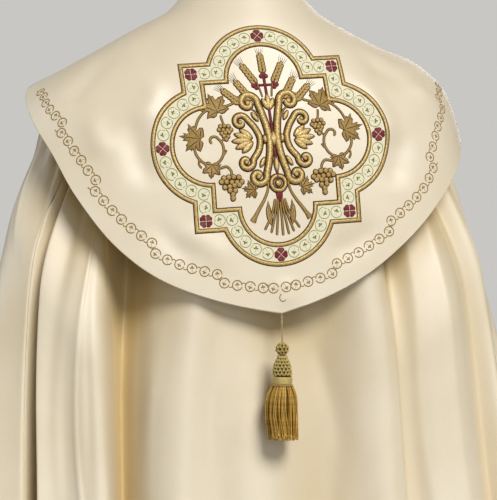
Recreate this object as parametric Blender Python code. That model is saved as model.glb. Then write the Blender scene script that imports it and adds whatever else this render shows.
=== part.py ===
"""Cope vestment: a full-length liturgical cloak with a shield hood, an embroidered quatrefoil and a tassel.

Metres, +Z up. The origin is the centre of the neck opening, at shoulder level. The hooded back faces -Y,
the front opening faces +Y, and the wearer's right is +X. The cloth is described by two numbers: an angle
round the body (0 at the centre back, positive towards +X) and the fall, the distance down the cloth from
the neck edge.
"""

import math
from collections import namedtuple

import bmesh
import bpy
import numpy as np
from mathutils import Vector
from mathutils.bvhtree import BVHTree

# Cloth
CLOTH = 0.002
HOOD_CLOTH = 0.0024
SEAM_GAP = 0.0003
LAID_GAP = 0.0007
HEM_FALL = 1.45

# Hood
HOOD_TOP_FALL = 0.004
HOOD_TOP_ANGLE = 105
HOOD_TOP_LIFT = 0.0036
HOOD_EDGE_LIFT = 0.0145
HOOD_LEFT_CORNER_LIFT = 0.011
HOOD_RIGHT_CORNER_LIFT = -0.003
HOOD_COLUMNS = 30
HOOD_ROWS = 13

# Neck band and morse, the tab that closes the front
BAND_HEIGHT = 0.016
BAND_INNER = -0.002
BAND_OUTER = 0.0036
BAND_ABOVE = 0.0005
BAND_COLUMNS = 48
MORSE_HALF_ANGLE = 17
MORSE_TOP_FALL = 0.135
MORSE_BOTTOM_FALL = 0.205
MORSE_CLOTH = 0.003
MORSE_COLUMNS = 10
MORSE_ROWS = 3

# Medallion, a quatrefoil with square corners: the angle and fall of its centre, how far its level and its
# upright axis are turned where the hood is pulled to the right, and how far the cloth takes up its width
MEDALLION_ANGLE = 3.3
MEDALLION_FALL = 0.2447
MEDALLION_TURN = 4.2
MEDALLION_LEAN = 2.3
MEDALLION_EASE = 0.975
MEDALLION_HALF = 0.100
LOBE_CENTRE = 0.074
LOBE_RADIUS = 0.0705
GOLD_LINE = 0.0055
GOLD_LINE_HIGH = 0.0016
INNER_LINE_INSET = 0.0225
GROUND_HIGH = 0.0007
LOBE_POINTS = 16
SIDE_POINTS = 3
CROSS_ARM = 0.058
CROSS_WAIST = 0.011
CROSS_FLARE = 0.026
CROSS_HIGH = 0.003
CROSS_RINGS = (0.34, 0.67, 1.0)

# Tassel, hung from the tip of the hood
CORD = 0.0024
CORD_DROP = 0.0315
CORD_POINTS = 9
TASSEL_CLEAR = 0.003
TASSEL_ASIDE = -0.0015
TASSEL_SIDES = 16
KNOT = 0.0145
HEAD_NECK = 0.0115
HEAD_WIDE = 0.0225
HEAD_TALL = 0.0235
COLLAR_WIDE = 0.0243
COLLAR_TALL = 0.011
FRINGE_TOP = 0.030
FRINGE_WIDE = 0.0358
FRINGE_END = 0.0318
FRINGE_TALL = 0.063

# Body of the garment: one row for each ring of cloth at the same fall, in metres. Tilt raises the right
# shoulder and lowers the left.
Section = namedtuple("Section", "fall half_width back front side_height back_height front_height squareness tilt")
SECTIONS = (
    Section(0.000, 0.062, 0.051, 0.060, 0.006, 0.014, -0.018, 0.000, 0.000),
    Section(0.030, 0.073, 0.064, 0.072, -0.022, -0.014, -0.045, 0.000, 0.000),
    Section(0.058, 0.091, 0.079, 0.085, -0.044, -0.038, -0.071, 0.000, 0.000),
    Section(0.096, 0.127, 0.098, 0.100, -0.066, -0.072, -0.106, 0.010, -0.001),
    Section(0.140, 0.166, 0.114, 0.112, -0.088, -0.113, -0.148, 0.020, 0.001),
    Section(0.198, 0.219, 0.130, 0.124, -0.119, -0.169, -0.205, 0.030, 0.007),
    Section(0.236, 0.246, 0.136, 0.130, -0.147, -0.206, -0.242, 0.040, 0.006),
    Section(0.265, 0.256, 0.140, 0.133, -0.174, -0.235, -0.271, 0.045, 0.003),
    Section(0.300, 0.263, 0.143, 0.135, -0.207, -0.270, -0.306, 0.050, 0.001),
    Section(0.350, 0.276, 0.146, 0.138, -0.256, -0.320, -0.356, 0.050, 0.000),
    Section(0.450, 0.300, 0.150, 0.145, -0.352, -0.420, -0.456, 0.045, 0.000),
    Section(0.550, 0.324, 0.151, 0.154, -0.449, -0.520, -0.556, 0.040, 0.000),
    Section(0.650, 0.348, 0.156, 0.165, -0.546, -0.620, -0.655, 0.035, 0.000),
    Section(0.900, 0.408, 0.192, 0.203, -0.790, -0.867, -0.902, 0.020, 0.000),
    Section(1.150, 0.463, 0.244, 0.248, -1.034, -1.111, -1.147, 0.010, 0.000),
    Section(1.450, 0.526, 0.312, 0.306, -1.327, -1.404, -1.441, 0.005, 0.000),
)

# Folds of the mantle, one row for each crest, valley or seam, from one front edge round to the other.
# Angles in degrees under the hood's edge, at the waist and at the hem; heights in metres, outwards positive.
Fold = namedtuple("Fold", "kind shoulder waist hem waist_height hem_height")
FOLDS = (
    Fold("front edge", -176.5, -175.0, -171.0, 0.000, 0.004),
    Fold("valley", -168.0, -166.0, -160.0, -0.009, -0.034),
    Fold("crest", -158.0, -155.0, -148.0, 0.004, 0.024),
    Fold("valley", -146.0, -142.0, -135.0, -0.014, -0.044),
    Fold("crest", -133.0, -128.0, -121.0, 0.006, 0.028),
    Fold("valley", -119.0, -113.0, -106.0, -0.016, -0.050),
    Fold("crest", -106.0, -98.0, -91.0, 0.005, 0.026),
    Fold("valley", -93.0, -82.0, -76.0, -0.015, -0.048),
    Fold("crest", -80.0, -64.0, -58.0, 0.005, 0.024),
    Fold("seam", -58.5, -46.0, -41.0, -0.002, -0.006),
    Fold("valley", -54.5, -43.5, -37.5, -0.009, -0.026),
    Fold("crest", -49.5, -40.5, -34.0, 0.000, 0.006),
    Fold("sharp crest", -35.2, -26.7, -23.5, 0.007, 0.024),
    Fold("side", -32.0, -25.0, -21.5, -0.008, -0.012),
    Fold("valley", -27.2, -22.6, -18.8, -0.021, -0.050),
    Fold("crest", -14.0, -13.0, -12.0, 0.004, 0.018),
    Fold("dip", -8.0, -8.0, -7.5, 0.001, 0.006),
    Fold("crest", -2.5, -2.5, -3.0, 0.003, 0.012),
    Fold("valley", 12.0, 11.5, 10.0, -0.006, -0.030),
    Fold("crest", 24.5, 22.5, 19.5, 0.005, 0.018),
    Fold("sharp crest", 29.8, 28.0, 25.0, 0.006, 0.022),
    Fold("valley", 33.6, 31.3, 29.0, -0.012, -0.036),
    Fold("crest", 40.5, 36.0, 34.0, 0.005, 0.018),
    Fold("valley", 57.5, 47.0, 43.5, -0.009, -0.036),
    Fold("crest", 68.0, 57.0, 52.0, 0.004, 0.020),
    Fold("seam", 73.5, 62.0, 57.0, 0.000, 0.006),
    Fold("valley", 85.0, 73.5, 69.0, -0.016, -0.046),
    Fold("crest", 97.0, 87.0, 83.0, 0.005, 0.026),
    Fold("valley", 111.0, 102.0, 98.0, -0.016, -0.048),
    Fold("crest", 125.0, 117.0, 113.0, 0.006, 0.028),
    Fold("valley", 138.0, 131.0, 128.0, -0.014, -0.044),
    Fold("crest", 150.0, 146.0, 142.0, 0.005, 0.026),
    Fold("valley", 163.0, 160.0, 156.0, -0.010, -0.036),
    Fold("front edge", 176.5, 175.0, 171.0, 0.000, 0.004),
)
FOLD_KNOTS = (0.0, 0.40, 0.70, HEM_FALL)
FOLD_TOP_SPREAD = 1.08
FOLD_START = 0.20
FOLD_FULL = 0.43
FOLD_STEP = 5.0
FEWEST_STEPS = 2
MOST_STEPS = 4
MANTLE_FALLS = (0, 0.022, 0.045, 0.07, 0.1, 0.135, 0.175, 0.22, 0.28, 0.35, 0.43, 0.53, 0.65, 0.8, 1, 1.22, HEM_FALL)

# Lower edge of the hood from its tip to each shoulder corner. It sits turned a little towards the right.
HoodEdge = namedtuple("HoodEdge", "share left_angle left_fall right_angle right_fall")
HOOD_EDGE = (
    HoodEdge(0.00, 3.7, 0.443, 3.7, 0.443),
    HoodEdge(0.16, -8.0, 0.430, 13.5, 0.425),
    HoodEdge(0.33, -20.0, 0.411, 22.5, 0.404),
    HoodEdge(0.50, -31.0, 0.381, 33.0, 0.375),
    HoodEdge(0.66, -43.5, 0.338, 46.5, 0.341),
    HoodEdge(0.82, -60.0, 0.289, 63.0, 0.310),
    HoodEdge(0.94, -80.0, 0.253, 84.0, 0.279),
    HoodEdge(1.00, -91.0, 0.235, 95.0, 0.254),
)

IVORY = (0.80, 0.73, 0.56)
PALE_GREEN = (0.62, 0.66, 0.50)
GOLD = (0.55, 0.36, 0.10)
OLD_GOLD = (0.42, 0.33, 0.13)


def column(table, name):
    """One named column of a table, as an array."""
    return np.array([getattr(row, name) for row in table])


def smooth_between(value, places, heights):
    """A smooth curve through (places, heights), read at each value."""
    slopes = np.gradient(heights, places)
    last = len(places) - 2
    index = np.clip(np.searchsorted(places, value, side="right") - 1, 0, last)
    step = places[index + 1] - places[index]
    t = (value - places[index]) / step
    near = heights[index] * (1 + 2 * t) * (1 - t) ** 2 + heights[index + 1] * t * t * (3 - 2 * t)
    return near + step * t * (1 - t) * (slopes[index] * (1 - t) - slopes[index + 1] * t)


def ease(value, start, end):
    """0 before start, 1 after end, and smooth between them."""
    t = np.clip((value - start) / (end - start), 0, 1)
    return t * t * (3 - 2 * t)


def unit(vectors):
    return vectors / np.linalg.norm(vectors, axis=-1, keepdims=True)


def body_point(angle, fall):
    """The smooth garment without its folds: rings of cloth round the neck, shoulders and back."""
    falls = column(SECTIONS, "fall")
    sizes = {name: smooth_between(fall, falls, column(SECTIONS, name)) for name in Section._fields[1:]}
    sine, cosine = np.sin(angle), np.cos(angle)
    square = sizes["squareness"]
    depth = np.where(cosine > 0, sizes["back"], sizes["front"])
    end_height = np.where(cosine > 0, sizes["back_height"], sizes["front_height"])
    x = sizes["half_width"] * (sine + square * np.sin(3 * angle)) / (1 - square)
    y = -depth * (cosine - square * np.cos(3 * angle)) / (1 - square)
    z = sizes["side_height"] * sine**2 + end_height * cosine**2 + sizes["tilt"] * sine
    return np.stack(np.broadcast_arrays(x, y, z), axis=-1)


def outward(surface, across, down, across_step=0.004, down_step=0.002):
    """The outward normal of surface(across, down), from small steps either way."""
    sideways = surface(across + across_step, down) - surface(across - across_step, down)
    downwards = surface(across, down + down_step) - surface(across, down - down_step)
    return unit(np.cross(downwards, sideways))


def body_outward(angle, fall):
    return outward(body_point, angle, np.maximum(fall, 0.002))


def fold_angle(fall):
    """The angle of every fold line, in radians, at each fall: an array of shape (falls, lines)."""
    shoulder = np.radians(column(FOLDS, "shoulder"))
    front = np.abs(shoulder) > math.radians(120)
    top = np.where(front, shoulder, shoulder * FOLD_TOP_SPREAD)
    lines = [top, shoulder, np.radians(column(FOLDS, "waist")), np.radians(column(FOLDS, "hem"))]
    knots = np.array(FOLD_KNOTS)
    return np.stack([smooth_between(fall, knots, np.array(line)) for line in zip(*lines)], axis=-1)


def fold_height(fall):
    """The outward height of every fold line at each fall."""
    waist = column(FOLDS, "waist_height")
    hem = column(FOLDS, "hem_height")
    grown = ease(fall, FOLD_START, FOLD_FULL)[..., None]
    lower = np.clip((fall - FOLD_FULL) / (HEM_FALL - FOLD_FULL), 0, 1)[..., None]
    return grown * (waist + (hem - waist) * lower)


def mantle_point(place, fall):
    """The mantle's outer face. Place counts fold lines: 2.5 lies midway between lines 2 and 3."""
    place, fall = np.broadcast_arrays(place, fall)
    index = np.clip(place.astype(int), 0, len(FOLDS) - 2)
    t = place - index
    angles, heights = fold_angle(fall), fold_height(fall)
    first = index[..., None]
    angle_a = np.take_along_axis(angles, first, -1)[..., 0]
    angle_b = np.take_along_axis(angles, first + 1, -1)[..., 0]
    height_a = np.take_along_axis(heights, first, -1)[..., 0]
    height_b = np.take_along_axis(heights, first + 1, -1)[..., 0]
    angle = angle_a + (angle_b - angle_a) * t
    rounded = (1 - np.cos(math.pi * np.clip(t, 0, 1))) / 2
    height = height_a + (height_b - height_a) * rounded
    return body_point(angle, fall) + body_outward(angle, fall) * height[..., None]


def mantle_places():
    """Columns of the mantle: more where two fold lines stand further apart."""
    shoulder, waist = column(FOLDS, "shoulder"), column(FOLDS, "waist")
    places = []
    for index in range(len(FOLDS) - 1):
        width = (shoulder[index + 1] - shoulder[index] + waist[index + 1] - waist[index]) / 2
        steps = int(np.clip(round(width / FOLD_STEP), FEWEST_STEPS, MOST_STEPS))
        places += [index + step / steps for step in range(steps)]
    return np.array(places + [len(FOLDS) - 1.0])


def hood_edge(across):
    """Angle and fall of the hood's lower edge, for across from -1 at the left corner to 1 at the right."""
    shares = column(HOOD_EDGE, "share")
    share = np.abs(across)
    sides = [
        [smooth_between(share, shares, column(HOOD_EDGE, side + "_" + name)) for name in ("angle", "fall")]
        for side in ("left", "right")
    ]
    angle = np.where(across < 0, sides[0][0], sides[1][0])
    fall = np.where(across < 0, sides[0][1], sides[1][1])
    return np.radians(angle), fall


def hood_lift(across, down):
    """How far the hood stands off the mantle: least at the neck and shoulders, most along its lower edge."""
    corner = np.where(across < 0, HOOD_LEFT_CORNER_LIFT, HOOD_RIGHT_CORNER_LIFT)
    growth = down ** (1.3 + 1.2 * across**2)
    return HOOD_TOP_LIFT + (HOOD_EDGE_LIFT - HOOD_TOP_LIFT) * growth + corner * (down * across) ** 8


def hood_point(across, down):
    """The hood's outer face, for down from 0 at the neck to 1 at the lower edge."""
    across, down = np.broadcast_arrays(across, down)
    edge_angle, edge_fall = hood_edge(across)
    top_angle = np.radians(HOOD_TOP_ANGLE) * across
    angle = top_angle + (edge_angle - top_angle) * down
    fall = HOOD_TOP_FALL + (edge_fall - HOOD_TOP_FALL) * down
    return body_point(angle, fall) + body_outward(angle, fall) * hood_lift(across, down)[..., None]


def hood_outward(across, down):
    inside = np.clip(across, -0.98, 0.98)
    return outward(hood_point, inside, np.clip(down, 0.02, 0.98), 0.01, 0.01)


def on_back(across, down):
    """Points on the hood's smooth face, for distances in metres across and down from the medallion's centre.

    A level line is walked round the back at each height, so level lines of the design stay level.
    """
    angles = np.radians(np.linspace(-75, 75, 101))
    falls = np.linspace(0.02, 0.47, 181)
    surface = body_point(angles[:, None], falls[None, :])
    turn, lean = math.radians(MEDALLION_TURN), math.radians(MEDALLION_LEAN)
    sideways = across * math.cos(turn) * MEDALLION_EASE + down * math.sin(lean)
    lower = down * math.cos(lean) - across * math.sin(turn)
    points = []
    for side, low in zip(np.ravel(sideways), np.ravel(lower)):
        centre_height = np.interp(MEDALLION_FALL + low, falls, surface[50, :, 2])
        level = np.array([np.interp(-centre_height, -row[:, 2], falls) for row in surface])
        ring = body_point(angles, level)
        length = np.concatenate([[0], np.cumsum(np.linalg.norm(np.diff(ring, axis=0), axis=1))])
        start = np.interp(math.radians(MEDALLION_ANGLE), angles, length)
        angle = np.interp(start + side, length, angles)
        points.append((angle, np.interp(angle, angles, level)))
    angle, fall = np.array(points).T
    return body_point(angle, fall), body_outward(angle, fall)


def closed_sheet(outer, inner, ring=False):
    """Points and faces of a wall between two matching grids of points. A ring joins its last column to its first.

    Both sides are split into triangles along the same diagonals, which keeps a twisted wall as thick as it should be.
    """
    rows, columns = outer.shape[:2]
    points = np.concatenate([outer.reshape(-1, 3), inner.reshape(-1, 3)])
    under = rows * columns

    def at(row, col):
        return row * columns + col % columns

    faces = []
    for col in range(columns if ring else columns - 1):
        for row in range(rows - 1):
            a, b, c, d = at(row, col), at(row + 1, col), at(row + 1, col + 1), at(row, col + 1)
            for triangle in ((a, b, c), (a, c, d)):
                faces.append(triangle)
                faces.append([under + corner for corner in reversed(triangle)])
        for row, (first, second) in ((0, (1, 0)), (rows - 1, (0, 1))):
            a, b = at(row, col + first), at(row, col + second)
            faces.append([a, under + a, under + b, b])
    if not ring:
        for row in range(rows - 1):
            for col, (first, second) in ((0, (0, 1)), (columns - 1, (1, 0))):
                a, b = at(row + first, col), at(row + second, col)
                faces.append([a, under + a, under + b, b])
    return points, faces


def material(name, colour, roughness, metallic=0.0):
    made = bpy.data.materials.new(name)
    made.use_nodes = True
    shader = made.node_tree.nodes["Principled BSDF"]
    shader.inputs["Base Color"].default_value = (*colour, 1)
    shader.inputs["Roughness"].default_value = roughness
    shader.inputs["Metallic"].default_value = metallic
    made.diffuse_color = (*colour, 1)
    return made


def add_mesh(name, points, faces, finish):
    """A smooth-shaded object from points and faces, with its faces turned outwards."""
    mesh = bpy.data.meshes.new(name)
    mesh.from_pydata([tuple(map(float, point)) for point in points], [], faces)
    shape = bmesh.new()
    shape.from_mesh(mesh)
    bmesh.ops.recalc_face_normals(shape, faces=shape.faces)
    shape.to_mesh(mesh)
    shape.free()
    mesh.materials.append(finish)
    mesh.shade_smooth()
    mesh.set_sharp_from_angle(angle=math.radians(50))
    made = bpy.data.objects.new(name, mesh)
    bpy.context.scene.collection.objects.link(made)
    return made


def add_mantle(finish):
    """Left, back and right panels, each between two seams or front edges, a seam's gap apart."""
    seams = [index for index, fold in enumerate(FOLDS) if fold.kind == "seam"]
    edges = [0, *seams, len(FOLDS) - 1]
    places = mantle_places()
    falls = np.array(MANTLE_FALLS)[:, None]
    for name, first, last in zip(("mantle_left", "mantle_back", "mantle_right"), edges, edges[1:]):
        columns = places[(places >= first) & (places <= last)]
        outer = mantle_point(columns[None, :], falls)
        normal = outward(mantle_point, np.clip(columns, 0.01, edges[-1] - 0.01)[None, :],
                         np.clip(falls, 0.003, HEM_FALL - 0.003), 0.01)
        for end, neighbour, is_seam in ((0, 1, first in seams), (-1, -2, last in seams)):
            if is_seam:
                outer[:, end] += unit(outer[:, neighbour] - outer[:, end]) * SEAM_GAP / 2
        points, faces = closed_sheet(outer, outer - normal * CLOTH)
        add_mesh(name, points, faces, finish)


def hood_grids():
    across = np.linspace(-1, 1, HOOD_COLUMNS + 1)[None, :]
    down = np.linspace(0, 1, HOOD_ROWS)[:, None]
    outer = hood_point(across, down)
    return outer, outer - hood_outward(across, down) * HOOD_CLOTH


def add_hood(finish):
    """The shield hood, and the tree of its outer faces that the medallion is laid on."""
    outer, inner = hood_grids()
    points, faces = closed_sheet(outer, inner)
    add_mesh("hood", points, faces, finish)
    outer_faces = [face for face in faces if max(face) < HOOD_ROWS * (HOOD_COLUMNS + 1)]
    return BVHTree.FromPolygons([Vector(point) for point in points], outer_faces)


def add_neck_band(finish):
    """A narrow binding that stands on the neck edge, from one front edge to the other."""
    end = math.radians(FOLDS[-1].shoulder)
    angle = np.linspace(-end, end, BAND_COLUMNS + 1)
    rim = body_point(angle, np.zeros_like(angle))
    level = body_outward(angle, np.zeros_like(angle)) * (1, 1, 0)
    level = unit(level)
    up = np.array((0, 0, 1))
    heights = (BAND_ABOVE + BAND_HEIGHT, BAND_ABOVE)
    outer = np.stack([rim + level * BAND_OUTER + up * height for height in heights])
    inner = np.stack([rim + level * BAND_INNER + up * height for height in heights])
    points, faces = closed_sheet(outer, inner)
    add_mesh("neck_band", points, faces, finish)


def add_morse(finish):
    """The tab across the chest that holds the two front edges together."""
    half = math.radians(MORSE_HALF_ANGLE)
    angle = math.pi + np.linspace(-half, half, MORSE_COLUMNS + 1)[None, :]
    fall = np.linspace(MORSE_TOP_FALL, MORSE_BOTTOM_FALL, MORSE_ROWS)[:, None]
    normal = body_outward(angle, fall)
    inner = body_point(angle, fall) + normal * 2 * LAID_GAP
    points, faces = closed_sheet(inner + normal * MORSE_CLOTH, inner)
    add_mesh("morse", points, faces, finish)


def quatrefoil(inset):
    """The medallion's outline, moved in by inset: four round lobes between four square corners."""
    half = MEDALLION_HALF - inset
    radius = LOBE_RADIUS - inset
    notch = math.acos((half - LOBE_CENTRE) / radius)
    turns = np.linspace(-notch, notch, LOBE_POINTS)
    lobe = np.stack([radius * np.sin(turns), LOBE_CENTRE + radius * np.cos(turns)], axis=-1)
    shares = np.linspace(0, 1, SIDE_POINTS, endpoint=False)[:, None]
    corner = np.array((-half, half))
    side = corner + (lobe[0] - corner) * shares
    far_side = lobe[-1] + (corner * (-1, 1) - lobe[-1]) * (shares + 1 / SIDE_POINTS)
    quarter = np.concatenate([side, lobe, far_side[:-1]])
    turned = []
    for turn in range(4):
        cosine, sine = math.cos(turn * math.pi / 2), math.sin(turn * math.pi / 2)
        turned.append(quarter @ np.array(((cosine, -sine), (sine, cosine))))
    return np.concatenate(turned)


def laid_on(tree, flat):
    """Flat points of the design, set on the hood's outer faces, and the outward direction at each."""
    points, normals = on_back(flat[..., 0], -flat[..., 1])
    set_down = np.array([tree.find_nearest(Vector(point))[0] for point in points])
    shape = flat.shape[:-1] + (3,)
    return set_down.reshape(shape), normals.reshape(shape)


def add_laid_ring(name, tree, rails, high, finish):
    """A raised band of the design along closed rails, from the outermost in."""
    base, normal = laid_on(tree, np.stack(rails))
    bottom = base + normal * LAID_GAP
    points, faces = closed_sheet(bottom + normal * high, bottom, ring=True)
    add_mesh(name, points, faces, finish)


def cross_outline():
    """A cross with arms that widen outwards, as points in order round it."""
    arm = [(CROSS_WAIST, CROSS_WAIST), (CROSS_WAIST * 1.1, CROSS_ARM * 0.4), (CROSS_FLARE, CROSS_ARM * 0.94),
           (0, CROSS_ARM), (-CROSS_FLARE, CROSS_ARM * 0.94), (-CROSS_WAIST * 1.1, CROSS_ARM * 0.4)]
    points = []
    for turn in range(4):
        cosine, sine = math.cos(turn * math.pi / 2), math.sin(turn * math.pi / 2)
        points += [(x * cosine - y * sine, x * sine + y * cosine) for x, y in arm]
    return np.array(points)


def add_cross(tree, finish):
    """The padded cross at the medallion's centre, raised from rings about its middle."""
    outline = cross_outline()
    flat = np.concatenate([np.zeros((1, 2))] + [outline * share for share in CROSS_RINGS])
    base, normal = laid_on(tree, flat)
    bottom = base + normal * LAID_GAP
    points = np.concatenate([bottom + normal * CROSS_HIGH, bottom])
    count, under = len(outline), len(bottom)
    faces = []
    for index in range(count):
        after = (index + 1) % count
        faces.append([0, 1 + index, 1 + after])
        for ring in range(len(CROSS_RINGS) - 1):
            a, b = 1 + ring * count + index, 1 + ring * count + after
            faces.append([a, a + count, b + count, b])
        rim_a, rim_b = 1 + (len(CROSS_RINGS) - 1) * count + index, 1 + (len(CROSS_RINGS) - 1) * count + after
        faces.append([rim_a, under + rim_a, under + rim_b, rim_b])
    faces += [[under + corner for corner in reversed(face)] for face in faces if max(face) < under]
    add_mesh("medallion_cross", points, faces, finish)


def add_medallion(tree, gold, ground):
    inner = INNER_LINE_INSET
    rings = (
        ("medallion_outer_line", 0, GOLD_LINE, GOLD_LINE_HIGH, gold),
        ("medallion_band", GOLD_LINE + SEAM_GAP, inner - SEAM_GAP, GROUND_HIGH, ground),
        ("medallion_inner_line", inner, inner + GOLD_LINE, GOLD_LINE_HIGH, gold),
    )
    for name, outside, inside, high, finish in rings:
        rails = [quatrefoil(inset) for inset in (outside, (outside + inside) / 2, inside)]
        add_laid_ring(name, tree, rails, high, finish)
    add_cross(tree, gold)


def turned(name, centre, profile, finish):
    """A solid turned about a plumb line, from (radius, height below centre) pairs, top to bottom."""
    angle = np.linspace(0, 2 * math.pi, TASSEL_SIDES, endpoint=False)
    points = [np.array(centre) - (0, 0, profile[0][1])]
    for radius, depth in profile:
        points += [np.array(centre) + (radius * math.cos(a), radius * math.sin(a), -depth) for a in angle]
    points.append(np.array(centre) - (0, 0, profile[-1][1]))
    last = len(points) - 1
    faces = []
    for index in range(TASSEL_SIDES):
        after = (index + 1) % TASSEL_SIDES
        faces.append([0, 1 + index, 1 + after])
        for ring in range(len(profile) - 1):
            a, b = 1 + ring * TASSEL_SIDES + index, 1 + ring * TASSEL_SIDES + after
            faces.append([a, a + TASSEL_SIDES, b + TASSEL_SIDES, b])
        faces.append([last, last - TASSEL_SIDES + after, last - TASSEL_SIDES + index])
    return add_mesh(name, points, faces, finish)


def add_cord(start, end, finish):
    """The cord from the hood's tip to the tassel: it swings out a little, and then hangs plumb."""
    data = bpy.data.curves.new("tassel_cord", "CURVE")
    data.dimensions = "3D"
    data.bevel_depth = CORD / 2
    data.bevel_resolution = 2
    data.use_fill_caps = True
    spline = data.splines.new("POLY")
    spline.points.add(CORD_POINTS - 1)
    for point, share in zip(spline.points, np.linspace(0, 1, CORD_POINTS)):
        level = start + (end - start) * float(ease(share, 0, 1))
        point.co = (level[0], level[1], start[2] + (end[2] - start[2]) * share, 1)
    data.materials.append(finish)
    bpy.context.scene.collection.objects.link(bpy.data.objects.new("tassel_cord", data))


def add_tassel(gold, old_gold):
    """Cord, knot, worked head, collar and fringe, one below the other, clear of the mantle."""
    tip = hood_point(np.array(0.0), np.array(1.0)) - hood_outward(np.array(0.0), np.array(1.0)) * HOOD_CLOTH / 2
    start = tip - (0, 0, LAID_GAP)
    drop = start[2] - CORD_DROP - KNOT - HEAD_TALL - COLLAR_TALL - FRINGE_TALL
    place = next(index for index, fold in enumerate(FOLDS) if fold.shoulder > 0) - 0.8
    back = mantle_point(np.array(place), np.linspace(0.4, 0.7, 61))
    mantle_y = np.interp(-drop, -back[:, 2], back[:, 1])
    centre = np.array((start[0] + TASSEL_ASIDE, mantle_y - FRINGE_WIDE / 2 - TASSEL_CLEAR, start[2] - CORD_DROP))
    add_cord(start, centre, old_gold)
    centre[2] -= LAID_GAP
    knot = [(KNOT / 2 * math.sin(turn), KNOT / 2 * (1 - math.cos(turn))) for turn in np.linspace(0.35, 2.79, 7)]
    turned("tassel_knot", centre, knot, old_gold)
    centre[2] -= knot[-1][1] + LAID_GAP
    head = [(HEAD_NECK / 2, 0), (HEAD_NECK * 0.56, HEAD_TALL * 0.1), (HEAD_WIDE * 0.42, HEAD_TALL * 0.38),
            (HEAD_WIDE * 0.49, HEAD_TALL * 0.7), (HEAD_WIDE * 0.48, HEAD_TALL)]
    turned("tassel_head", centre, head, old_gold)
    centre[2] -= HEAD_TALL + LAID_GAP
    collar = [(COLLAR_WIDE * 0.47, 0), (COLLAR_WIDE * 0.5, COLLAR_TALL * 0.3),
              (COLLAR_WIDE * 0.5, COLLAR_TALL * 0.7), (COLLAR_WIDE * 0.47, COLLAR_TALL)]
    turned("tassel_collar", centre, collar, gold)
    centre[2] -= COLLAR_TALL + LAID_GAP
    fringe = [(FRINGE_TOP * 0.42, 0), (FRINGE_TOP / 2, FRINGE_TALL * 0.12), (FRINGE_WIDE / 2, FRINGE_TALL * 0.55),
              (FRINGE_WIDE / 2, FRINGE_TALL * 0.8), (FRINGE_END / 2, FRINGE_TALL)]
    turned("tassel_fringe", centre, fringe, gold)


def main():
    for old in list(bpy.data.objects):
        bpy.data.objects.remove(old, do_unlink=True)
    satin = material("ivory satin", IVORY, 0.5)
    gold = material("gold thread", GOLD, 0.4, 0.3)
    old_gold = material("olive gold thread", OLD_GOLD, 0.5, 0.2)
    ground = material("pale green thread", PALE_GREEN, 0.7)
    add_mantle(satin)
    tree = add_hood(satin)
    add_neck_band(satin)
    add_morse(satin)
    add_medallion(tree, gold, ground)
    add_tassel(gold, old_gold)


main()
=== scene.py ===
"""Looks of a cope vestment: satin cloth, an embroidered hood and a tassel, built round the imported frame.

Metres, +Z up. The origin is the centre of the neck opening. The hooded back faces -Y and the wearer's right
is +X. Cloth is described by an angle round the body (0 at the centre back, positive towards +X) and by the
fall, the distance down the cloth from the neck. The design on the hood is drawn flat, as distances across
and up from the medallion's centre, and then laid on the cloth.
"""

import math
from collections import namedtuple

import bpy
import numpy as np
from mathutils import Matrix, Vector


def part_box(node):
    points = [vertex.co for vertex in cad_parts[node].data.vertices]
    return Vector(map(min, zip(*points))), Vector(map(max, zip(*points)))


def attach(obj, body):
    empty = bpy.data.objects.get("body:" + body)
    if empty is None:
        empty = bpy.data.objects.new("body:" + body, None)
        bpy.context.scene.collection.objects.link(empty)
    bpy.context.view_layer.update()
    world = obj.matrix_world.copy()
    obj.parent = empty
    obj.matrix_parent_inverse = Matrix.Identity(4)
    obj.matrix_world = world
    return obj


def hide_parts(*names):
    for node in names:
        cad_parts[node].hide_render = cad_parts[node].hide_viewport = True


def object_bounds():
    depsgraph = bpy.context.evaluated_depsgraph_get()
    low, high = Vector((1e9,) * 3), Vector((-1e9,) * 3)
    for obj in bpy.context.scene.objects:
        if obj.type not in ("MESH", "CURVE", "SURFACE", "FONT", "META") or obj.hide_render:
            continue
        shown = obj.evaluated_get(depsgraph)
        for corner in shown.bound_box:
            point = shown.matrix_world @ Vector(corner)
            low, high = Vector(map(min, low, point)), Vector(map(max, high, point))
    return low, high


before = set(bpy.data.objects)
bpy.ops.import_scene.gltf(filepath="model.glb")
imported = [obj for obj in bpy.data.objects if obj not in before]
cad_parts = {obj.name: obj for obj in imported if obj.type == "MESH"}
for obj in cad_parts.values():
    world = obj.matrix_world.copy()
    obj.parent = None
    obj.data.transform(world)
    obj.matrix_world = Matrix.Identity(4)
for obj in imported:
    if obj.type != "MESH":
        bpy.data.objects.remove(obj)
CAD_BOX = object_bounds()

bl_info = {
    "name": "Cope vestment",
    "version": (1, 0, 0),
    "blender": (4, 5, 0),
    "location": "View3D > Sidebar > Cope",
    "description": "Makes a full-length satin cope with an embroidered shield hood and a tassel",
    "category": "Add Mesh",
}

# Cloth, in metres
CLOTH = 0.002
HOOD_CLOTH = 0.0024
SEAM_GAP = 0.0003
HEM_FALL = 1.45
HEM_TURNING = 0.028
EDGE_TURNING = 0.022

# Hood
HOOD_TOP_FALL = 0.004
HOOD_TOP_ANGLE = 105
HOOD_TOP_LIFT = 0.0036
HOOD_EDGE_LIFT = 0.0145
HOOD_LEFT_CORNER_LIFT = 0.011
HOOD_RIGHT_CORNER_LIFT = -0.003
DENT_FULL_LIFT = 0.0085

# Medallion: its centre on the cloth, how far its level and its upright axis are turned, and its outline
MEDALLION_ANGLE = 2.95
MEDALLION_FALL = 0.2408
MEDALLION_TURN = math.radians(4.2)
MEDALLION_LEAN = math.radians(2.3)
MEDALLION_EASE = 0.975
MEDALLION_HALF = 0.1015
LOBE_CENTRE = 0.075
LOBE_RADIUS = 0.0716
GOLD_LINE = 0.0055
INNER_LINE_INSET = 0.0225

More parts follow.
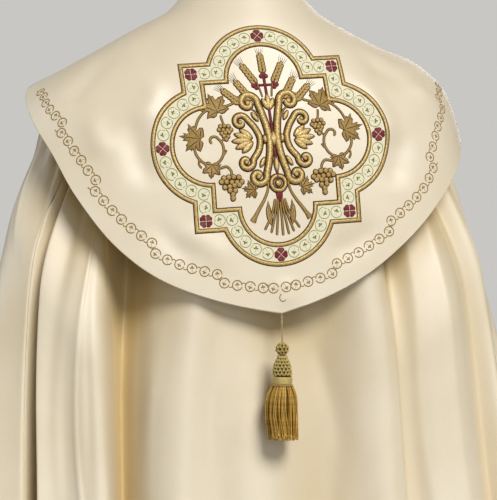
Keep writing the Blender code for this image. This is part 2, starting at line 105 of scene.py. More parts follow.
# Body of the garment: one row for each ring of cloth at the same fall
Section = namedtuple(
    "Section", "fall half_width back front side_height back_height front_height squareness tilt")
SECTIONS = [Section(*row) for row in (
    (0, 0.062, 0.051, 0.06, 0.006, 0.014, -0.018, 0, 0),
    (0.03, 0.073, 0.064, 0.072, -0.022, -0.014, -0.045, 0, 0),
    (0.058, 0.091, 0.079, 0.085, -0.044, -0.038, -0.071, 0, 0),
    (0.096, 0.127, 0.098, 0.1, -0.066, -0.072, -0.106, 0.01, -0.001),
    (0.14, 0.166, 0.114, 0.112, -0.088, -0.113, -0.148, 0.02, 0.001),
    (0.198, 0.219, 0.13, 0.124, -0.119, -0.169, -0.205, 0.03, 0.007),
    (0.236, 0.246, 0.136, 0.13, -0.147, -0.206, -0.242, 0.04, 0.006),
    (0.265, 0.256, 0.14, 0.133, -0.174, -0.235, -0.271, 0.045, 0.003),
    (0.3, 0.263, 0.143, 0.135, -0.207, -0.27, -0.306, 0.05, 0.001),
    (0.35, 0.276, 0.146, 0.138, -0.256, -0.32, -0.356, 0.05, 0),
    (0.45, 0.3, 0.15, 0.145, -0.352, -0.42, -0.456, 0.045, 0),
    (0.55, 0.324, 0.151, 0.154, -0.449, -0.52, -0.556, 0.04, 0),
    (0.65, 0.348, 0.156, 0.165, -0.546, -0.62, -0.655, 0.035, 0),
    (0.9, 0.408, 0.192, 0.203, -0.79, -0.867, -0.902, 0.02, 0),
    (1.15, 0.463, 0.244, 0.248, -1.034, -1.111, -1.147, 0.01, 0),
    (1.45, 0.526, 0.312, 0.306, -1.327, -1.404, -1.441, 0.005, 0),
)]

# Folds of the mantle, from one front edge round to the other: angles in degrees, heights in metres
Fold = namedtuple("Fold", "kind shoulder waist hem waist_height hem_height")
FOLDS = [Fold(*row) for row in (
    ("front edge", -176.5, -175, -171, 0, 0.004),
    ("valley", -168, -166, -160, -0.009, -0.034),
    ("crest", -158, -155, -148, 0.004, 0.024),
    ("valley", -146, -142, -135, -0.014, -0.044),
    ("crest", -133, -128, -121, 0.006, 0.028),
    ("valley", -119, -113, -106, -0.016, -0.05),
    ("crest", -106, -98, -91, 0.005, 0.026),
    ("valley", -93, -82, -76, -0.015, -0.048),
    ("crest", -80, -64, -58, 0.005, 0.024),
    ("seam", -60.5, -46.4, -41, -0.003, -0.008),
    ("valley", -56.4, -44.8, -38.6, -0.027, -0.046),
    ("sharp crest", -53.3, -41.9, -35.8, 0.006, 0.014),
    ("side", -46, -35.8, -30.6, 0, 0.004),
    ("crest", -38.4, -29.6, -25.8, 0.0075, 0.024),
    ("crease", -35.2, -26.7, -23.5, 0.005, 0.02),
    ("side", -33.6, -26, -22.7, -0.004, 0.006),
    ("side", -31.6, -25.2, -21.9, -0.03, -0.042),
    ("valley", -29.4, -24.2, -20.8, -0.043, -0.066),
    ("side", -25.4, -21.6, -18.4, -0.026, -0.045),
    ("side", -21.2, -18.6, -15.8, -0.005, -0.008),
    ("crest", -14, -13, -12, 0.006, 0.019),
    ("dip", -8, -8, -7.5, 0.0005, 0.005),
    ("crest", -2.5, -2.5, -3, 0.004, 0.013),
    ("valley", 12, 11.5, 10, -0.013, -0.036),
    ("crest", 25.4, 23.3, 20.1, 0.0065, 0.019),
    ("side", 28.2, 26.2, 23.4, -0.001, 0.004),
    ("valley", 29.9, 27.8, 25.3, -0.01, -0.022),
    ("side", 32, 30.2, 28.2, -0.008, -0.016),
    ("side", 37, 34.4, 32.2, 0.001, 0.003),
    ("crest", 46, 41, 38.4, 0.005, 0.014),
    ("valley", 61.5, 52.6, 48.2, -0.013, -0.026),
    ("crest", 68, 57, 52, 0.004, 0.02),
    ("seam", 73.5, 62, 57, 0, 0.006),
    ("valley", 85, 73.5, 69, -0.016, -0.046),
    ("crest", 97, 87, 83, 0.005, 0.026),
    ("valley", 111, 102, 98, -0.016, -0.048),
    ("crest", 125, 117, 113, 0.006, 0.028),
    ("valley", 138, 131, 128, -0.014, -0.044),
    ("crest", 150, 146, 142, 0.005, 0.026),
    ("valley", 163, 160, 156, -0.01, -0.036),
    ("front edge", 176.5, 175, 171, 0, 0.004),
)]
FOLD_KNOTS = (0.0, 0.40, 0.70, HEM_FALL)
FOLD_TOP_SPREAD = 1.08
SHARP_CREST_SLOPE = 0.9
FOLD_START = 0.20
FOLD_FULL = 0.43
VALLEY_START = 0.13
VALLEY_FULL = 0.33
VALLEY_HEIGHT = -0.004
SEAM_LINES = [index for index, fold in enumerate(FOLDS) if fold.kind == "seam"]
PANEL_ENDS = [0, *SEAM_LINES, len(FOLDS) - 1]

# Lower edge of the hood, from its tip to each shoulder corner
HoodEdge = namedtuple("HoodEdge", "share left_angle left_fall right_angle right_fall")
HOOD_EDGE = [HoodEdge(*row) for row in (
    (0, 3.7, 0.443, 3.7, 0.443),
    (0.16, -8, 0.43, 13.5, 0.425),
    (0.33, -20, 0.411, 22.5, 0.404),
    (0.5, -31, 0.381, 33, 0.375),
    (0.66, -43.5, 0.338, 46.5, 0.341),
    (0.82, -60, 0.289, 63, 0.31),
    (0.94, -80, 0.253, 84, 0.279),
    (1, -91, 0.235, 95, 0.254),
)]

# Hollow of the mantle under the hood's lower edge: its depth at each angle
HOLLOW_ANGLES = (-95, -80, -62, -45, -30, -20, -11, -3, 4, 12, 24, 30, 38, 55, 80, 95)
HOLLOW_DEPTHS = (0.000, 0.020, 0.034, 0.032, 0.028, 0.018, 0.004, 0.015, 0.018, 0.013, 0.004, 0.024, 0.026,
                 0.028, 0.016, 0.000)
# Painted shade of the mantle's satin: the height below which it starts, and the depth over which it grows
# full
PAINTED_SHADE_TOP = 0.003
PAINTED_SHADE_DEPTH = 0.050
HOLLOW_ABOVE = (-0.150, -0.045)
HOLLOW_BELOW = (-0.010, 0.150)
# How far below the hood's edge the painted shadow under it reaches
PAINTED_SHADOW_BELOW = (0.000, 0.070)

# Small creases of the mantle: each runs between two angles and falls, with a width and a height in metres
Crease = namedtuple("Crease", "angle_a fall_a angle_b fall_b width height")
MANTLE_CREASES = [Crease(*row) for row in (
    (-86, 0.245, -70, 0.42, 0.005, 0.003),
    (-82, 0.25, -66.5, 0.44, 0.004, -0.0028),
    (-78, 0.255, -63, 0.45, 0.0045, 0.0026),
    (-73.5, 0.262, -60, 0.43, 0.004, -0.0024),
    (-70, 0.27, -57.5, 0.4, 0.004, 0.0018),
    (-61, 0.3, -52.5, 0.56, 0.007, 0.0016),
    (-43, 0.35, -33.5, 0.76, 0.012, 0.0022),
    (-38, 0.42, -31.5, 0.9, 0.009, -0.0016),
    (-37.6, 0.33, -25.4, 0.8, 0.0022, -0.0022),
    (-39, 0.33, -26.9, 0.8, 0.0034, 0.0022),
    (-18.5, 0.43, -16.5, 0.95, 0.01, 0.002),
    (-12, 0.47, -9.5, 0.7, 0.014, -0.0016),
    (-5, 0.46, -6, 1.1, 0.013, 0.0018),
    (4, 0.52, 5, 1, 0.018, 0.0026),
    (8, 0.45, 16, 0.64, 0.016, -0.0028),
    (18, 0.56, 15.5, 1.25, 0.016, 0.0024),
    (37, 0.38, 33.5, 0.78, 0.009, 0.0016),
    (49, 0.33, 41.5, 0.88, 0.011, 0.0024),
    (58, 0.3, 50, 0.56, 0.009, -0.0018),
    (79, 0.27, 66, 0.52, 0.006, 0.0018),
    (92, 0.23, 82, 0.48, 0.008, -0.0022),
    (100, 0.24, 95, 0.62, 0.009, 0.0026),
    (118, 0.18, 108, 0.42, 0.011, 0.003),
    (131, 0.16, 124, 0.5, 0.012, -0.003),
    (143, 0.14, 140, 0.43, 0.01, 0.0026),
    (157, 0.12, 153, 0.7, 0.011, -0.0024),
    (168, 0.2, 166, 0.9, 0.009, 0.002),
    (-100, 0.235, -92, 0.52, 0.008, 0.0026),
    (-113, 0.2, -104, 0.48, 0.01, -0.0028),
    (-124, 0.17, -118, 0.56, 0.011, 0.003),
    (-138, 0.14, -134, 0.42, 0.012, -0.0028),
    (-150, 0.15, -147, 0.64, 0.009, 0.0024),
    (-163, 0.13, -160, 0.82, 0.011, -0.0024),
    (-172, 0.24, -168, 0.9, 0.008, 0.0018),
    (110, 0.9, 104, 1.4, 0.016, 0.0034),
    (78, 0.85, 76, 1.38, 0.015, 0.0032),
    (-84, 0.8, -80, 1.4, 0.016, 0.0034),
    (-114, 0.88, -112, 1.42, 0.015, -0.003),
    (-27, 1, -28.5, 1.43, 0.012, 0.0026),
    (27, 0.98, 27.5, 1.42, 0.011, -0.0022),
    (136, 0.9, 134, 1.41, 0.014, 0.003),
)]

# Soft troughs and dimples of the stiffened hood, placed on the flat design
Dent = namedtuple("Dent", "across_a up_a across_b up_b width height")
HOOD_DENTS = [Dent(*row) for row in (
    (-0.06, 0.2, -0.155, 0.118, 0.018, -0.0052),
    (-0.1, 0.186, -0.215, 0.085, 0.015, 0.0042),
    (-0.15, 0.128, -0.245, 0.062, 0.013, -0.004),
    (-0.03, 0.16, -0.1, 0.148, 0.015, 0.0026),
    (0.055, 0.182, 0.15, 0.112, 0.014, -0.0056),
    (0.088, 0.19, 0.182, 0.116, 0.012, 0.0046),
    (0.128, 0.104, 0.198, 0.056, 0.013, -0.005),
    (0.12, 0.072, 0.152, -0.02, 0.015, 0.0044),
    (0.158, 0.074, 0.232, 0.03, 0.012, 0.003),
    (-0.128, 0.086, -0.158, 0.03, 0.016, 0.004),
    (-0.166, 0.03, -0.15, -0.04, 0.018, -0.0042),
    (0.16, 0, 0.15, -0.062, 0.018, -0.004),
    (-0.2, -0.004, -0.216, 0.046, 0.015, 0.0028),
    (-0.118, -0.096, -0.06, -0.14, 0.016, 0.003),
    (-0.15, -0.082, -0.104, -0.132, 0.013, -0.0022),
    (0.06, -0.136, 0.122, -0.108, 0.015, -0.0026),
    (0, -0.16, 0.004, -0.195, 0.012, 0.0018),
)]


def column(table, name):
    """One named column of a table, as an array."""
    return np.array([getattr(row, name) for row in table])


def smooth_between(value, places, heights):
    """A smooth curve through (places, heights), read at each value."""
    places, heights = np.asarray(places), np.asarray(heights)
    slopes = np.gradient(heights, places)
    last = len(places) - 2
    index = np.clip(np.searchsorted(places, value, side="right") - 1, 0, last)
    step = places[index + 1] - places[index]
    t = (value - places[index]) / step
    near = heights[index] * (1 + 2 * t) * (1 - t) ** 2 + heights[index + 1] * t * t * (3 - 2 * t)
    return near + step * t * (1 - t) * (slopes[index] * (1 - t) - slopes[index + 1] * t)


def ease(value, start, end):
    """0 before start, 1 after end, and smooth between them."""
    t = np.clip((value - start) / (end - start), 0, 1)
    return t * t * (3 - 2 * t)


def unit(vectors):
    return vectors / np.linalg.norm(vectors, axis=-1, keepdims=True)


def distances(path):
    """How far along a path each of its points is."""
    return np.concatenate([[0], np.cumsum(np.linalg.norm(np.diff(path, axis=0), axis=1))])


def grid_distances(grid, axis):
    """How far each point of a grid is from its row's first point (axis 1) or its column's first (axis 0)."""
    steps = np.linalg.norm(np.diff(grid, axis=axis), axis=2)
    start = np.zeros((len(grid), 1) if axis else (1, grid.shape[1]))
    return np.concatenate([start, np.cumsum(steps, axis=axis)], axis=axis)


def steps_along(grid, value):
    """Where a value lies on an evenly stepped line of numbers, counted in steps."""
    return (value - grid[0]) / (grid[1] - grid[0])


def body_point(angle, fall):
    """The smooth garment without its folds."""
    falls = column(SECTIONS, "fall")
    sizes = {name: smooth_between(fall, falls, column(SECTIONS, name)) for name in Section._fields[1:]}
    sine, cosine = np.sin(angle), np.cos(angle)
    square = sizes["squareness"]
    depth = np.where(cosine > 0, sizes["back"], sizes["front"])
    end_height = np.where(cosine > 0, sizes["back_height"], sizes["front_height"])
    x = sizes["half_width"] * (sine + square * np.sin(3 * angle)) / (1 - square)
    y = -depth * (cosine - square * np.cos(3 * angle)) / (1 - square)
    z = sizes["side_height"] * sine**2 + end_height * cosine**2 + sizes["tilt"] * sine
    return np.stack(np.broadcast_arrays(x, y, z), axis=-1)


def outward(surface, across, down, across_step=0.004, down_step=0.002):
    """The outward normal of surface(across, down), from small steps either way."""
    sideways = surface(across + across_step, down) - surface(across - across_step, down)
    downwards = surface(across, down + down_step) - surface(across, down - down_step)
    return unit(np.cross(downwards, sideways))


def body_outward(angle, fall):
    return outward(body_point, angle, np.maximum(fall, 0.002))


def fold_angle(fall):
    """The angle of every fold line, in radians, at each fall: an array of shape (falls, lines)."""
    shoulder = np.radians(column(FOLDS, "shoulder"))
    front = np.abs(shoulder) > math.radians(120)
    top = np.where(front, shoulder, shoulder * FOLD_TOP_SPREAD)
    lines = [top, shoulder, np.radians(column(FOLDS, "waist")), np.radians(column(FOLDS, "hem"))]
    return np.stack([smooth_between(fall, FOLD_KNOTS, line) for line in zip(*lines)], axis=-1)


def fold_height(fall):
    """The outward height of every fold line at each fall: valleys begin higher up, under the hood."""
    waist = column(FOLDS, "waist_height")
    hem = column(FOLDS, "hem_height")
    crests = ease(fall, FOLD_START, FOLD_FULL)[..., None]
    valleys = ease(fall, VALLEY_START, VALLEY_FULL)[..., None]
    grown = np.where(waist < VALLEY_HEIGHT, valleys, crests)
    lower = np.clip((fall - FOLD_FULL) / (HEM_FALL - FOLD_FULL), 0, 1)[..., None]
    return grown * (waist + (hem - waist) * lower)


def fold_slopes(angles, heights):
    """The slope of the cloth just before and just after every fold line: level on crests and valleys."""
    before, after = np.zeros(heights.shape), np.zeros(heights.shape)
    for line, fold in enumerate(FOLDS):
        if fold.kind in ("side", "crease"):
            run = angles[:, line + 1] - angles[:, line - 1]
            before[:, line] = after[:, line] = (heights[:, line + 1] - heights[:, line - 1]) / run
        elif fold.kind == "sharp crest":
            for slopes, near, far in ((before, line - 1, line), (after, line, line + 1)):
                rise, run = heights[:, far] - heights[:, near], angles[:, far] - angles[:, near]
                slopes[:, line] = SHARP_CREST_SLOPE * rise / run
    return before, after


def mantle_angle(places, falls):
    """Angle and outward height of each column of cloth at each fall: smooth curves between fold lines."""
    index = np.clip(places.astype(int), 0, len(FOLDS) - 2)
    t = places - index
    angles, heights = fold_angle(falls), fold_height(falls)
    before, after = fold_slopes(angles, heights)
    step = angles[:, index + 1] - angles[:, index]
    rounded = t * t * (3 - 2 * t)
    height = heights[:, index] * (1 - rounded) + heights[:, index + 1] * rounded
    height += step * t * (1 - t) * (after[:, index] * (1 - t) - before[:, index + 1] * t)
    return angles[:, index] + step * t, height


def line_relief(x, y, rows, run_out=0.18):
    """Heights of soft ridges and troughs along short lines, each dying away at its ends."""
    total = np.zeros(np.broadcast(x, y).shape)
    for ax, ay, bx, by, width, height in rows:
        run = np.hypot(bx - ax, by - ay)
        along = ((x - ax) * (bx - ax) + (y - ay) * (by - ay)) / run**2
        bow = 0.05 * run * np.sin(math.pi * np.clip(along, 0, 1)) * math.copysign(1, height)
        aside = ((x - ax) * (by - ay) - (y - ay) * (bx - ax)) / run + bow
        fade = ease(along, -run_out, run_out * 2) * (1 - ease(along, 1 - run_out * 2, 1 + run_out))
        total += height * fade * np.exp(-((aside / width) ** 2))
    return total


def hood_edge(across):
    """Angle and fall of the hood's lower edge, for across from -1 at the left corner to 1 at the right."""
    shares = column(HOOD_EDGE, "share")
    share = np.abs(across)
    sides = [[smooth_between(share, shares, column(HOOD_EDGE, side + name)) for side in ("left", "right")]
             for name in ("_angle", "_fall")]
    angle, fall = (np.where(across < 0, *pair) for pair in sides)
    return np.radians(angle), fall


def hood_place(across, down):
    """Angle and fall of a place on the hood, for down from 0 at the neck to 1 at the lower edge."""
    edge_angle, edge_fall = hood_edge(across)
    top_angle = np.radians(HOOD_TOP_ANGLE) * across
    angle = top_angle + (edge_angle - top_angle) * down
    return angle, HOOD_TOP_FALL + (edge_fall - HOOD_TOP_FALL) * down


def hood_share(angle, fall):
    """The place on the hood, across and down, that has this angle and fall."""
    low, high = np.full(np.shape(angle), -1.0), np.full(np.shape(angle), 1.0)
    for _ in range(26):
        across = (low + high) / 2
        _, edge_fall = hood_edge(across)
        down = np.clip((fall - HOOD_TOP_FALL) / (edge_fall - HOOD_TOP_FALL), 0, 1.1)
        short = hood_place(across, down)[0] < angle
        low, high = np.where(short, across, low), np.where(short, high, across)
    return across, down


def hood_lift(across, down):
    """How far the hood stands off the mantle: least at the neck and shoulders, most along its lower edge."""
    corner = np.where(across < 0, HOOD_LEFT_CORNER_LIFT, HOOD_RIGHT_CORNER_LIFT)
    growth = down ** (1.3 + 1.2 * across**2)
    return HOOD_TOP_LIFT + (HOOD_EDGE_LIFT - HOOD_TOP_LIFT) * growth + corner * (down * across) ** 8


def hood_rise(across, down, design_across, design_up):
    """The hood's height over the mantle with its soft dents, which die away where it lies close."""
    lift = hood_lift(across, down)
    dents = line_relief(design_across, design_up, HOOD_DENTS)
    return lift + dents * ease(lift, HOOD_TOP_LIFT, DENT_FULL_LIFT)


def read_grid(table, row, col):
    """Values of a table of shape (rows, columns, ...) at fractional rows and columns."""
    rows, cols = table.shape[:2]
    row, col = np.clip(row, 0, rows - 1.001), np.clip(col, 0, cols - 1.001)
    i, j = row.astype(int), col.astype(int)
    extra = (1,) * (table.ndim - 2)
    u, v = (row - i).reshape(row.shape + extra), (col - j).reshape(col.shape + extra)
    upper = table[i, j] * (1 - v) + table[i, j + 1] * v
    lower = table[i + 1, j] * (1 - v) + table[i + 1, j + 1] * v
    return upper * (1 - u) + lower * u


class DesignMap:
    """Carries the flat design to the cloth: level lines of the design are walked round the back."""

    ANGLES = np.radians(np.linspace(-112, 112, 225))
    FALLS = np.linspace(0.002, 0.50, 250)
    LOWS = np.linspace(-0.243, 0.235, 120)
    SIDES = np.linspace(-0.40, 0.40, 201)
    ACROSS = np.linspace(-0.36, 0.36, 361)
    UP = np.linspace(-0.24, 0.26, 251)

    def __init__(self):
        surface = body_point(self.ANGLES[:, None], self.FALLS[None, :])
        centre = np.argmin(np.abs(self.ANGLES))
        self.centre_heights = surface[centre, :, 2]
        heights = np.interp(MEDALLION_FALL + self.LOWS, self.FALLS, self.centre_heights)
        lengths, angle_of, fall_of = [], [], []
        for height in heights:
            level = np.array([np.interp(-height, -row[:, 2], self.FALLS) for row in surface])
            ring = body_point(self.ANGLES, level)
            length = distances(ring)
            length -= np.interp(math.radians(MEDALLION_ANGLE), self.ANGLES, length)
            angle = np.interp(self.SIDES, length, self.ANGLES)
            lengths.append(length)
            angle_of.append(angle)
            fall_of.append(np.interp(angle, self.ANGLES, level))
        self.lengths = np.array(lengths)
        self.places = np.stack([np.array(angle_of), np.array(fall_of)], axis=-1)
        across, up = np.meshgrid(self.ACROSS, self.UP, indexing="ij")
        angle, fall = self.place(across, up)
        share = hood_share(angle, fall)
        normal = body_outward(angle, fall)
        rise = hood_rise(*share, across, up)
        points = body_point(angle, fall) + normal * rise[..., None]
        self.surface = np.concatenate([points, normal], axis=-1)

    def place(self, across, up):
        """Angle and fall of flat points."""
        side = across * math.cos(MEDALLION_TURN) * MEDALLION_EASE - up * math.sin(MEDALLION_LEAN)
        low = -up * math.cos(MEDALLION_LEAN) - across * math.sin(MEDALLION_TURN)
        found = read_grid(self.places, steps_along(self.LOWS, low), steps_along(self.SIDES, side))
        return found[..., 0], found[..., 1]

    def flat(self, angle, fall):
        """Flat points, across and up, of places on the cloth."""
        height = body_point(angle, fall)[..., 2]
        low = np.interp(-height, -self.centre_heights, self.FALLS) - MEDALLION_FALL
        side = read_grid(self.lengths, steps_along(self.LOWS, low), steps_along(self.ANGLES, angle))
        a, b = math.cos(MEDALLION_TURN) * MEDALLION_EASE, -math.sin(MEDALLION_LEAN)
        c, d = -math.sin(MEDALLION_TURN), -math.cos(MEDALLION_LEAN)
        scale = a * d - b * c
        return (side * d - b * low) / scale, (a * low - c * side) / scale

    def lay(self, flat, heights):
        """Flat points set on the hood's face, each raised by its height."""
        row, col = steps_along(self.ACROSS, flat[..., 0]), steps_along(self.UP, flat[..., 1])
        found = read_grid(self.surface, row, col)
        return found[..., :3] + unit(found[..., 3:]) * np.asarray(heights)[..., None]

    def local(self, flat, along):
        """The flat offsets of a metre on the cloth along a flat direction and of a metre square to it."""
        step = 0.002
        here = self.lay(flat, 0.0)
        slopes = np.stack([(self.lay(flat + step * axis, 0.0) - here) / step for axis in np.eye(2)], -1)
        forwards = unit(slopes @ np.asarray(along, float))
        normal = unit(np.cross(slopes[:, 0], slopes[:, 1]))
        inwards = np.cross(normal, forwards)
        return np.linalg.lstsq(slopes, np.stack([forwards, inwards], -1), rcond=None)[0]


DESIGN = DesignMap()


def hood_point(across, down):
    """The hood's outer face with its soft dents."""
    angle, fall = hood_place(across, down)
    rise = hood_rise(across, down, *DESIGN.flat(angle, fall))
    return body_point(angle, fall) + body_outward(angle, fall) * rise[..., None]


# ---------------------------------------------------------------- meshes


def grid_faces(rows, columns, start=0, ring=False, flip=False):
    """Quads between neighbouring rows and columns of points numbered row by row."""
    row = np.arange(rows - 1)[:, None]
    col = np.arange(columns if ring else columns - 1)[None, :]
    after = (col + 1) % columns
    first, second = row * columns, (row + 1) * columns
    corners = [first + col, second + col, second + after, first + after]
    quads = np.stack(np.broadcast_arrays(*corners), axis=-1).reshape(-1, 4) + start
    return quads[:, ::-1] if flip else quads


# The mantle's painted shade, kept on each point for the satin's colour
PAINTED_SHADE_LAYER = "fold"
RISE_LAYER = "rise"


def keep_values(piece, layer, values):
    """Keeps one number for each of the piece's points, for its shader to read."""
    kept = piece.data.attributes.new(layer, "FLOAT", "POINT")
    kept.data.foreach_set("value", np.asarray(values, dtype=np.float32))


def add_object(name, points, faces, finish, flats=None, layer="cloth"):
    """A smooth piece that rides on the garment. flats are its points' flat places, kept as a UV map."""
    mesh = bpy.data.meshes.new(name)
    mesh.from_pydata(np.asarray(points).tolist(), [], [list(map(int, face)) for face in faces])
    mesh.materials.append(finish)
    mesh.shade_smooth()
    if flats is not None:
        corners = np.zeros(len(mesh.loops), dtype=int)
        mesh.loops.foreach_get("vertex_index", corners)
        mesh.uv_layers.new(name=layer).uv.foreach_set("vector", np.asarray(flats)[corners].ravel())
    made = bpy.data.objects.new(name, mesh)
    bpy.context.scene.collection.objects.link(made)
    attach(made, "root")
    return made


def closed_cloth(outer, inner, inner_rows):
    """Points, faces and flat places of a closed cloth: a fine outer face, a coarser inner one, and its edges.

    The outer face may have more rows than the inner one: the last ones then roll its lower edge in.
    """
    rows, columns = outer.shape[:2]
    picked = np.unique(np.linspace(0, len(inner) - 1, inner_rows).round().astype(int))
    points = np.concatenate([outer.reshape(-1, 3), inner[picked].reshape(-1, 3)])
    start = rows * columns
    faces = grid_faces(rows, columns).tolist() + grid_faces(len(picked), columns, start, flip=True).tolist()
    low_outer, low_inner = (rows - 1) * columns, start + (len(picked) - 1) * columns
    for col in range(columns - 1):
        faces.append([col, col + 1, start + col + 1, start + col])
        faces.append([low_outer + col + 1, low_outer + col, low_inner + col, low_inner + col + 1])
    joined = [*picked[:-1], rows - 1]
    for edge, flip in ((0, False), (columns - 1, True)):
        for a, b in zip(range(len(picked) - 1), range(1, len(picked))):
            side = [row * columns + edge for row in range(joined[a], joined[b] + 1)]
            side += [start + b * columns + edge, start + a * columns + edge]
            faces.append(side if flip else side[::-1])
    flats = np.concatenate([cloth_places(outer).reshape(-1, 2), points[start:, [0, 2]]])
    return points, faces, flats


def end_faces(rings, sides, flip=False):
    """The two end faces of a tube that has so many rings."""
    first = list(range(sides))
    last = list(range((rings - 1) * sides, rings * sides))
    return [first[::-1], last] if flip else [first, last[::-1]]


# ---------------------------------------------------------------- shader parts


def new_group(name, inputs, outputs):
    """A shader node group. Inputs are (name, kind, default) and outputs are (name, kind)."""
    tree = bpy.data.node_groups.new(name, "ShaderNodeTree")
    for label, kind, default in inputs:
        socket = tree.interface.new_socket(label, in_out="INPUT", socket_type="NodeSocket" + kind)
        if default is not None:
            socket.default_value = default
    for label, kind in outputs:
        tree.interface.new_socket(label, in_out="OUTPUT", socket_type="NodeSocket" + kind)
    return tree, tree.nodes.new("NodeGroupInput"), tree.nodes.new("NodeGroupOutput")


def set_or_link(tree, socket, value):
    if isinstance(value, bpy.types.NodeSocket):
        tree.links.new(value, socket)
    else:
        socket.default_value = value


def math_node(tree, operation, *values):
    node = tree.nodes.new("ShaderNodeMath")
    node.operation = operation
    for socket, value in zip(node.inputs, values):
        set_or_link(tree, socket, value)
    return node.outputs[0]


def scaled(tree, vector, factors):
    node = tree.nodes.new("ShaderNodeVectorMath")
    node.operation = "MULTIPLY"
    tree.links.new(vector, node.inputs[0])
    set_or_link(tree, node.inputs[1], factors)
    return node.outputs[0]


def noise(tree, vector, scale, detail=2.0, roughness=0.5):
    node = tree.nodes.new("ShaderNodeTexNoise")
    tree.links.new(vector, node.inputs["Vector"])
    set_or_link(tree, node.inputs["Scale"], scale)
    node.inputs["Detail"].default_value = detail
    node.inputs["Roughness"].default_value = roughness
    return node.outputs["Fac"]


def mix_colour(tree, factor, first, second):
    node = tree.nodes.new("ShaderNodeMix")
    node.data_type = "RGBA"
    set_or_link(tree, node.inputs["Factor"], factor)
    set_or_link(tree, node.inputs["A"], first)
    set_or_link(tree, node.inputs["B"], second)
    return node.outputs["Result"]


def stretch(tree, value, low, high, to_low=0.0, to_high=1.0):
    node = tree.nodes.new("ShaderNodeMapRange")
    tree.links.new(value, node.inputs["Value"])
    for label, number in (("From Min", low), ("From Max", high), ("To Min", to_low), ("To Max", to_high)):
        set_or_link(tree, node.inputs[label], number)
    return node.outputs["Result"]


def make_weave_group():
    """Satin weave: fine floats along the weft, slubs, and a soft unevenness of tone."""
    tree, given, result = new_group(
        "Satin weave",
        [("Place", "Vector", None), ("Float length", "Float", 0.0016), ("Thread", "Float", 0.0006),
         ("Slubs", "Float", 0.4)],
        [("Height", "Float"), ("Tone", "Float")],
    )
    size = tree.nodes.new("ShaderNodeCombineXYZ")
    tree.links.new(math_node(tree, "DIVIDE", 1.0, given.outputs["Float length"]), size.inputs[0])
    tree.links.new(math_node(tree, "DIVIDE", 1.0, given.outputs["Thread"]), size.inputs[1])
    size.inputs[2].default_value = 1.0
    floats = noise(tree, scaled(tree, given.outputs["Place"], size.outputs[0]), 1.0, 2.0, 0.6)
    slubs = noise(tree, scaled(tree, given.outputs["Place"], (60.0, 420.0, 60.0)), 1.0, 1.0)
    grain = noise(tree, given.outputs["Place"], 900.0, 1.0)
    drift = noise(tree, given.outputs["Place"], 9.0, 3.0)
    height = math_node(tree, "ADD", floats, math_node(tree, "MULTIPLY", slubs, given.outputs["Slubs"]))
    height = math_node(tree, "ADD", height, math_node(tree, "MULTIPLY", grain, 0.5))
    tree.links.new(height, result.inputs["Height"])
    tone = math_node(tree, "ADD", math_node(tree, "MULTIPLY", floats, 0.35),
                     math_node(tree, "MULTIPLY", drift, 0.4))
    tone = math_node(tree, "ADD", tone, math_node(tree, "MULTIPLY", grain, 0.25))
    tree.links.new(tone, result.inputs["Tone"])
    return tree


def make_stitch_group():
    """Satin stitch: threads laid side by side along a shape, with a slant and small breaks."""
    tree, given, result = new_group(
        "Satin stitch",
        [("Place", "Vector", None), ("Pitch", "Float", 0.0005), ("Slant", "Float", 0.25),
         ("Breaks", "Float", 0.5)],
        [("Height", "Float"), ("Shade", "Float")],
    )
    parts = tree.nodes.new("ShaderNodeSeparateXYZ")
    tree.links.new(given.outputs["Place"], parts.inputs[0])
    shift = math_node(tree, "MULTIPLY", parts.outputs[1], given.outputs["Slant"])
    wobble = math_node(tree, "MULTIPLY", noise(tree, given.outputs["Place"], 260.0, 1.0),
                       given.outputs["Pitch"])
    along = math_node(tree, "ADD", math_node(tree, "ADD", parts.outputs[0], shift), wobble)
    turns = math_node(tree, "MULTIPLY", math_node(tree, "DIVIDE", along, given.outputs["Pitch"]), 2 * math.pi)
    rib = math_node(tree, "MULTIPLY_ADD", math_node(tree, "SINE", turns), 0.5, 0.5)
    tree.links.new(math_node(tree, "POWER", rib, 0.6), result.inputs["Height"])
    size = tree.nodes.new("ShaderNodeCombineXYZ")
    tree.links.new(math_node(tree, "DIVIDE", 0.6, given.outputs["Pitch"]), size.inputs[0])
    size.inputs[1].default_value = 240.0
    size.inputs[2].default_value = 60.0
    breaks = noise(tree, scaled(tree, given.outputs["Place"], size.outputs[0]), 1.0, 2.0, 0.6)
    broken = math_node(tree, "MULTIPLY", math_node(tree, "SUBTRACT", breaks, 0.5), given.outputs["Breaks"])
    # Shade: painted shade in the grooves between threads, and a random tone where the threads break
    shade = math_node(tree, "ADD", math_node(tree, "MULTIPLY", rib, 0.35),
                      math_node(tree, "MULTIPLY", broken, 2.0))
    tree.links.new(math_node(tree, "ADD", shade, 0.35), result.inputs["Shade"])
    return tree


def place_group(tree, group, values):
    node = tree.nodes.new("ShaderNodeGroup")
    node.node_tree = group
    for label, value in values.items():
        set_or_link(tree, node.inputs[label], value)
    return node


def new_material(name):
    made = bpy.data.materials.new(name)
    made.use_nodes = True
    return made, made.node_tree, made.node_tree.nodes["Principled BSDF"]


def place_from(tree, layer):
    """Coordinates in metres: the cloth's own from a UV map, or the shape's in space."""
    if layer:
        node = tree.nodes.new("ShaderNodeUVMap")
        node.uv_map = layer
        return node.outputs["UV"]
    return tree.nodes.new("ShaderNodeTexCoord").outputs["Object"]


def bump(tree, shader, height, strength, distance):
    node = tree.nodes.new("ShaderNodeBump")
    node.inputs["Strength"].default_value = strength
    node.inputs["Distance"].default_value = distance
    tree.links.new(height, node.inputs["Height"])
    tree.links.new(node.outputs["Normal"], shader.inputs["Normal"])


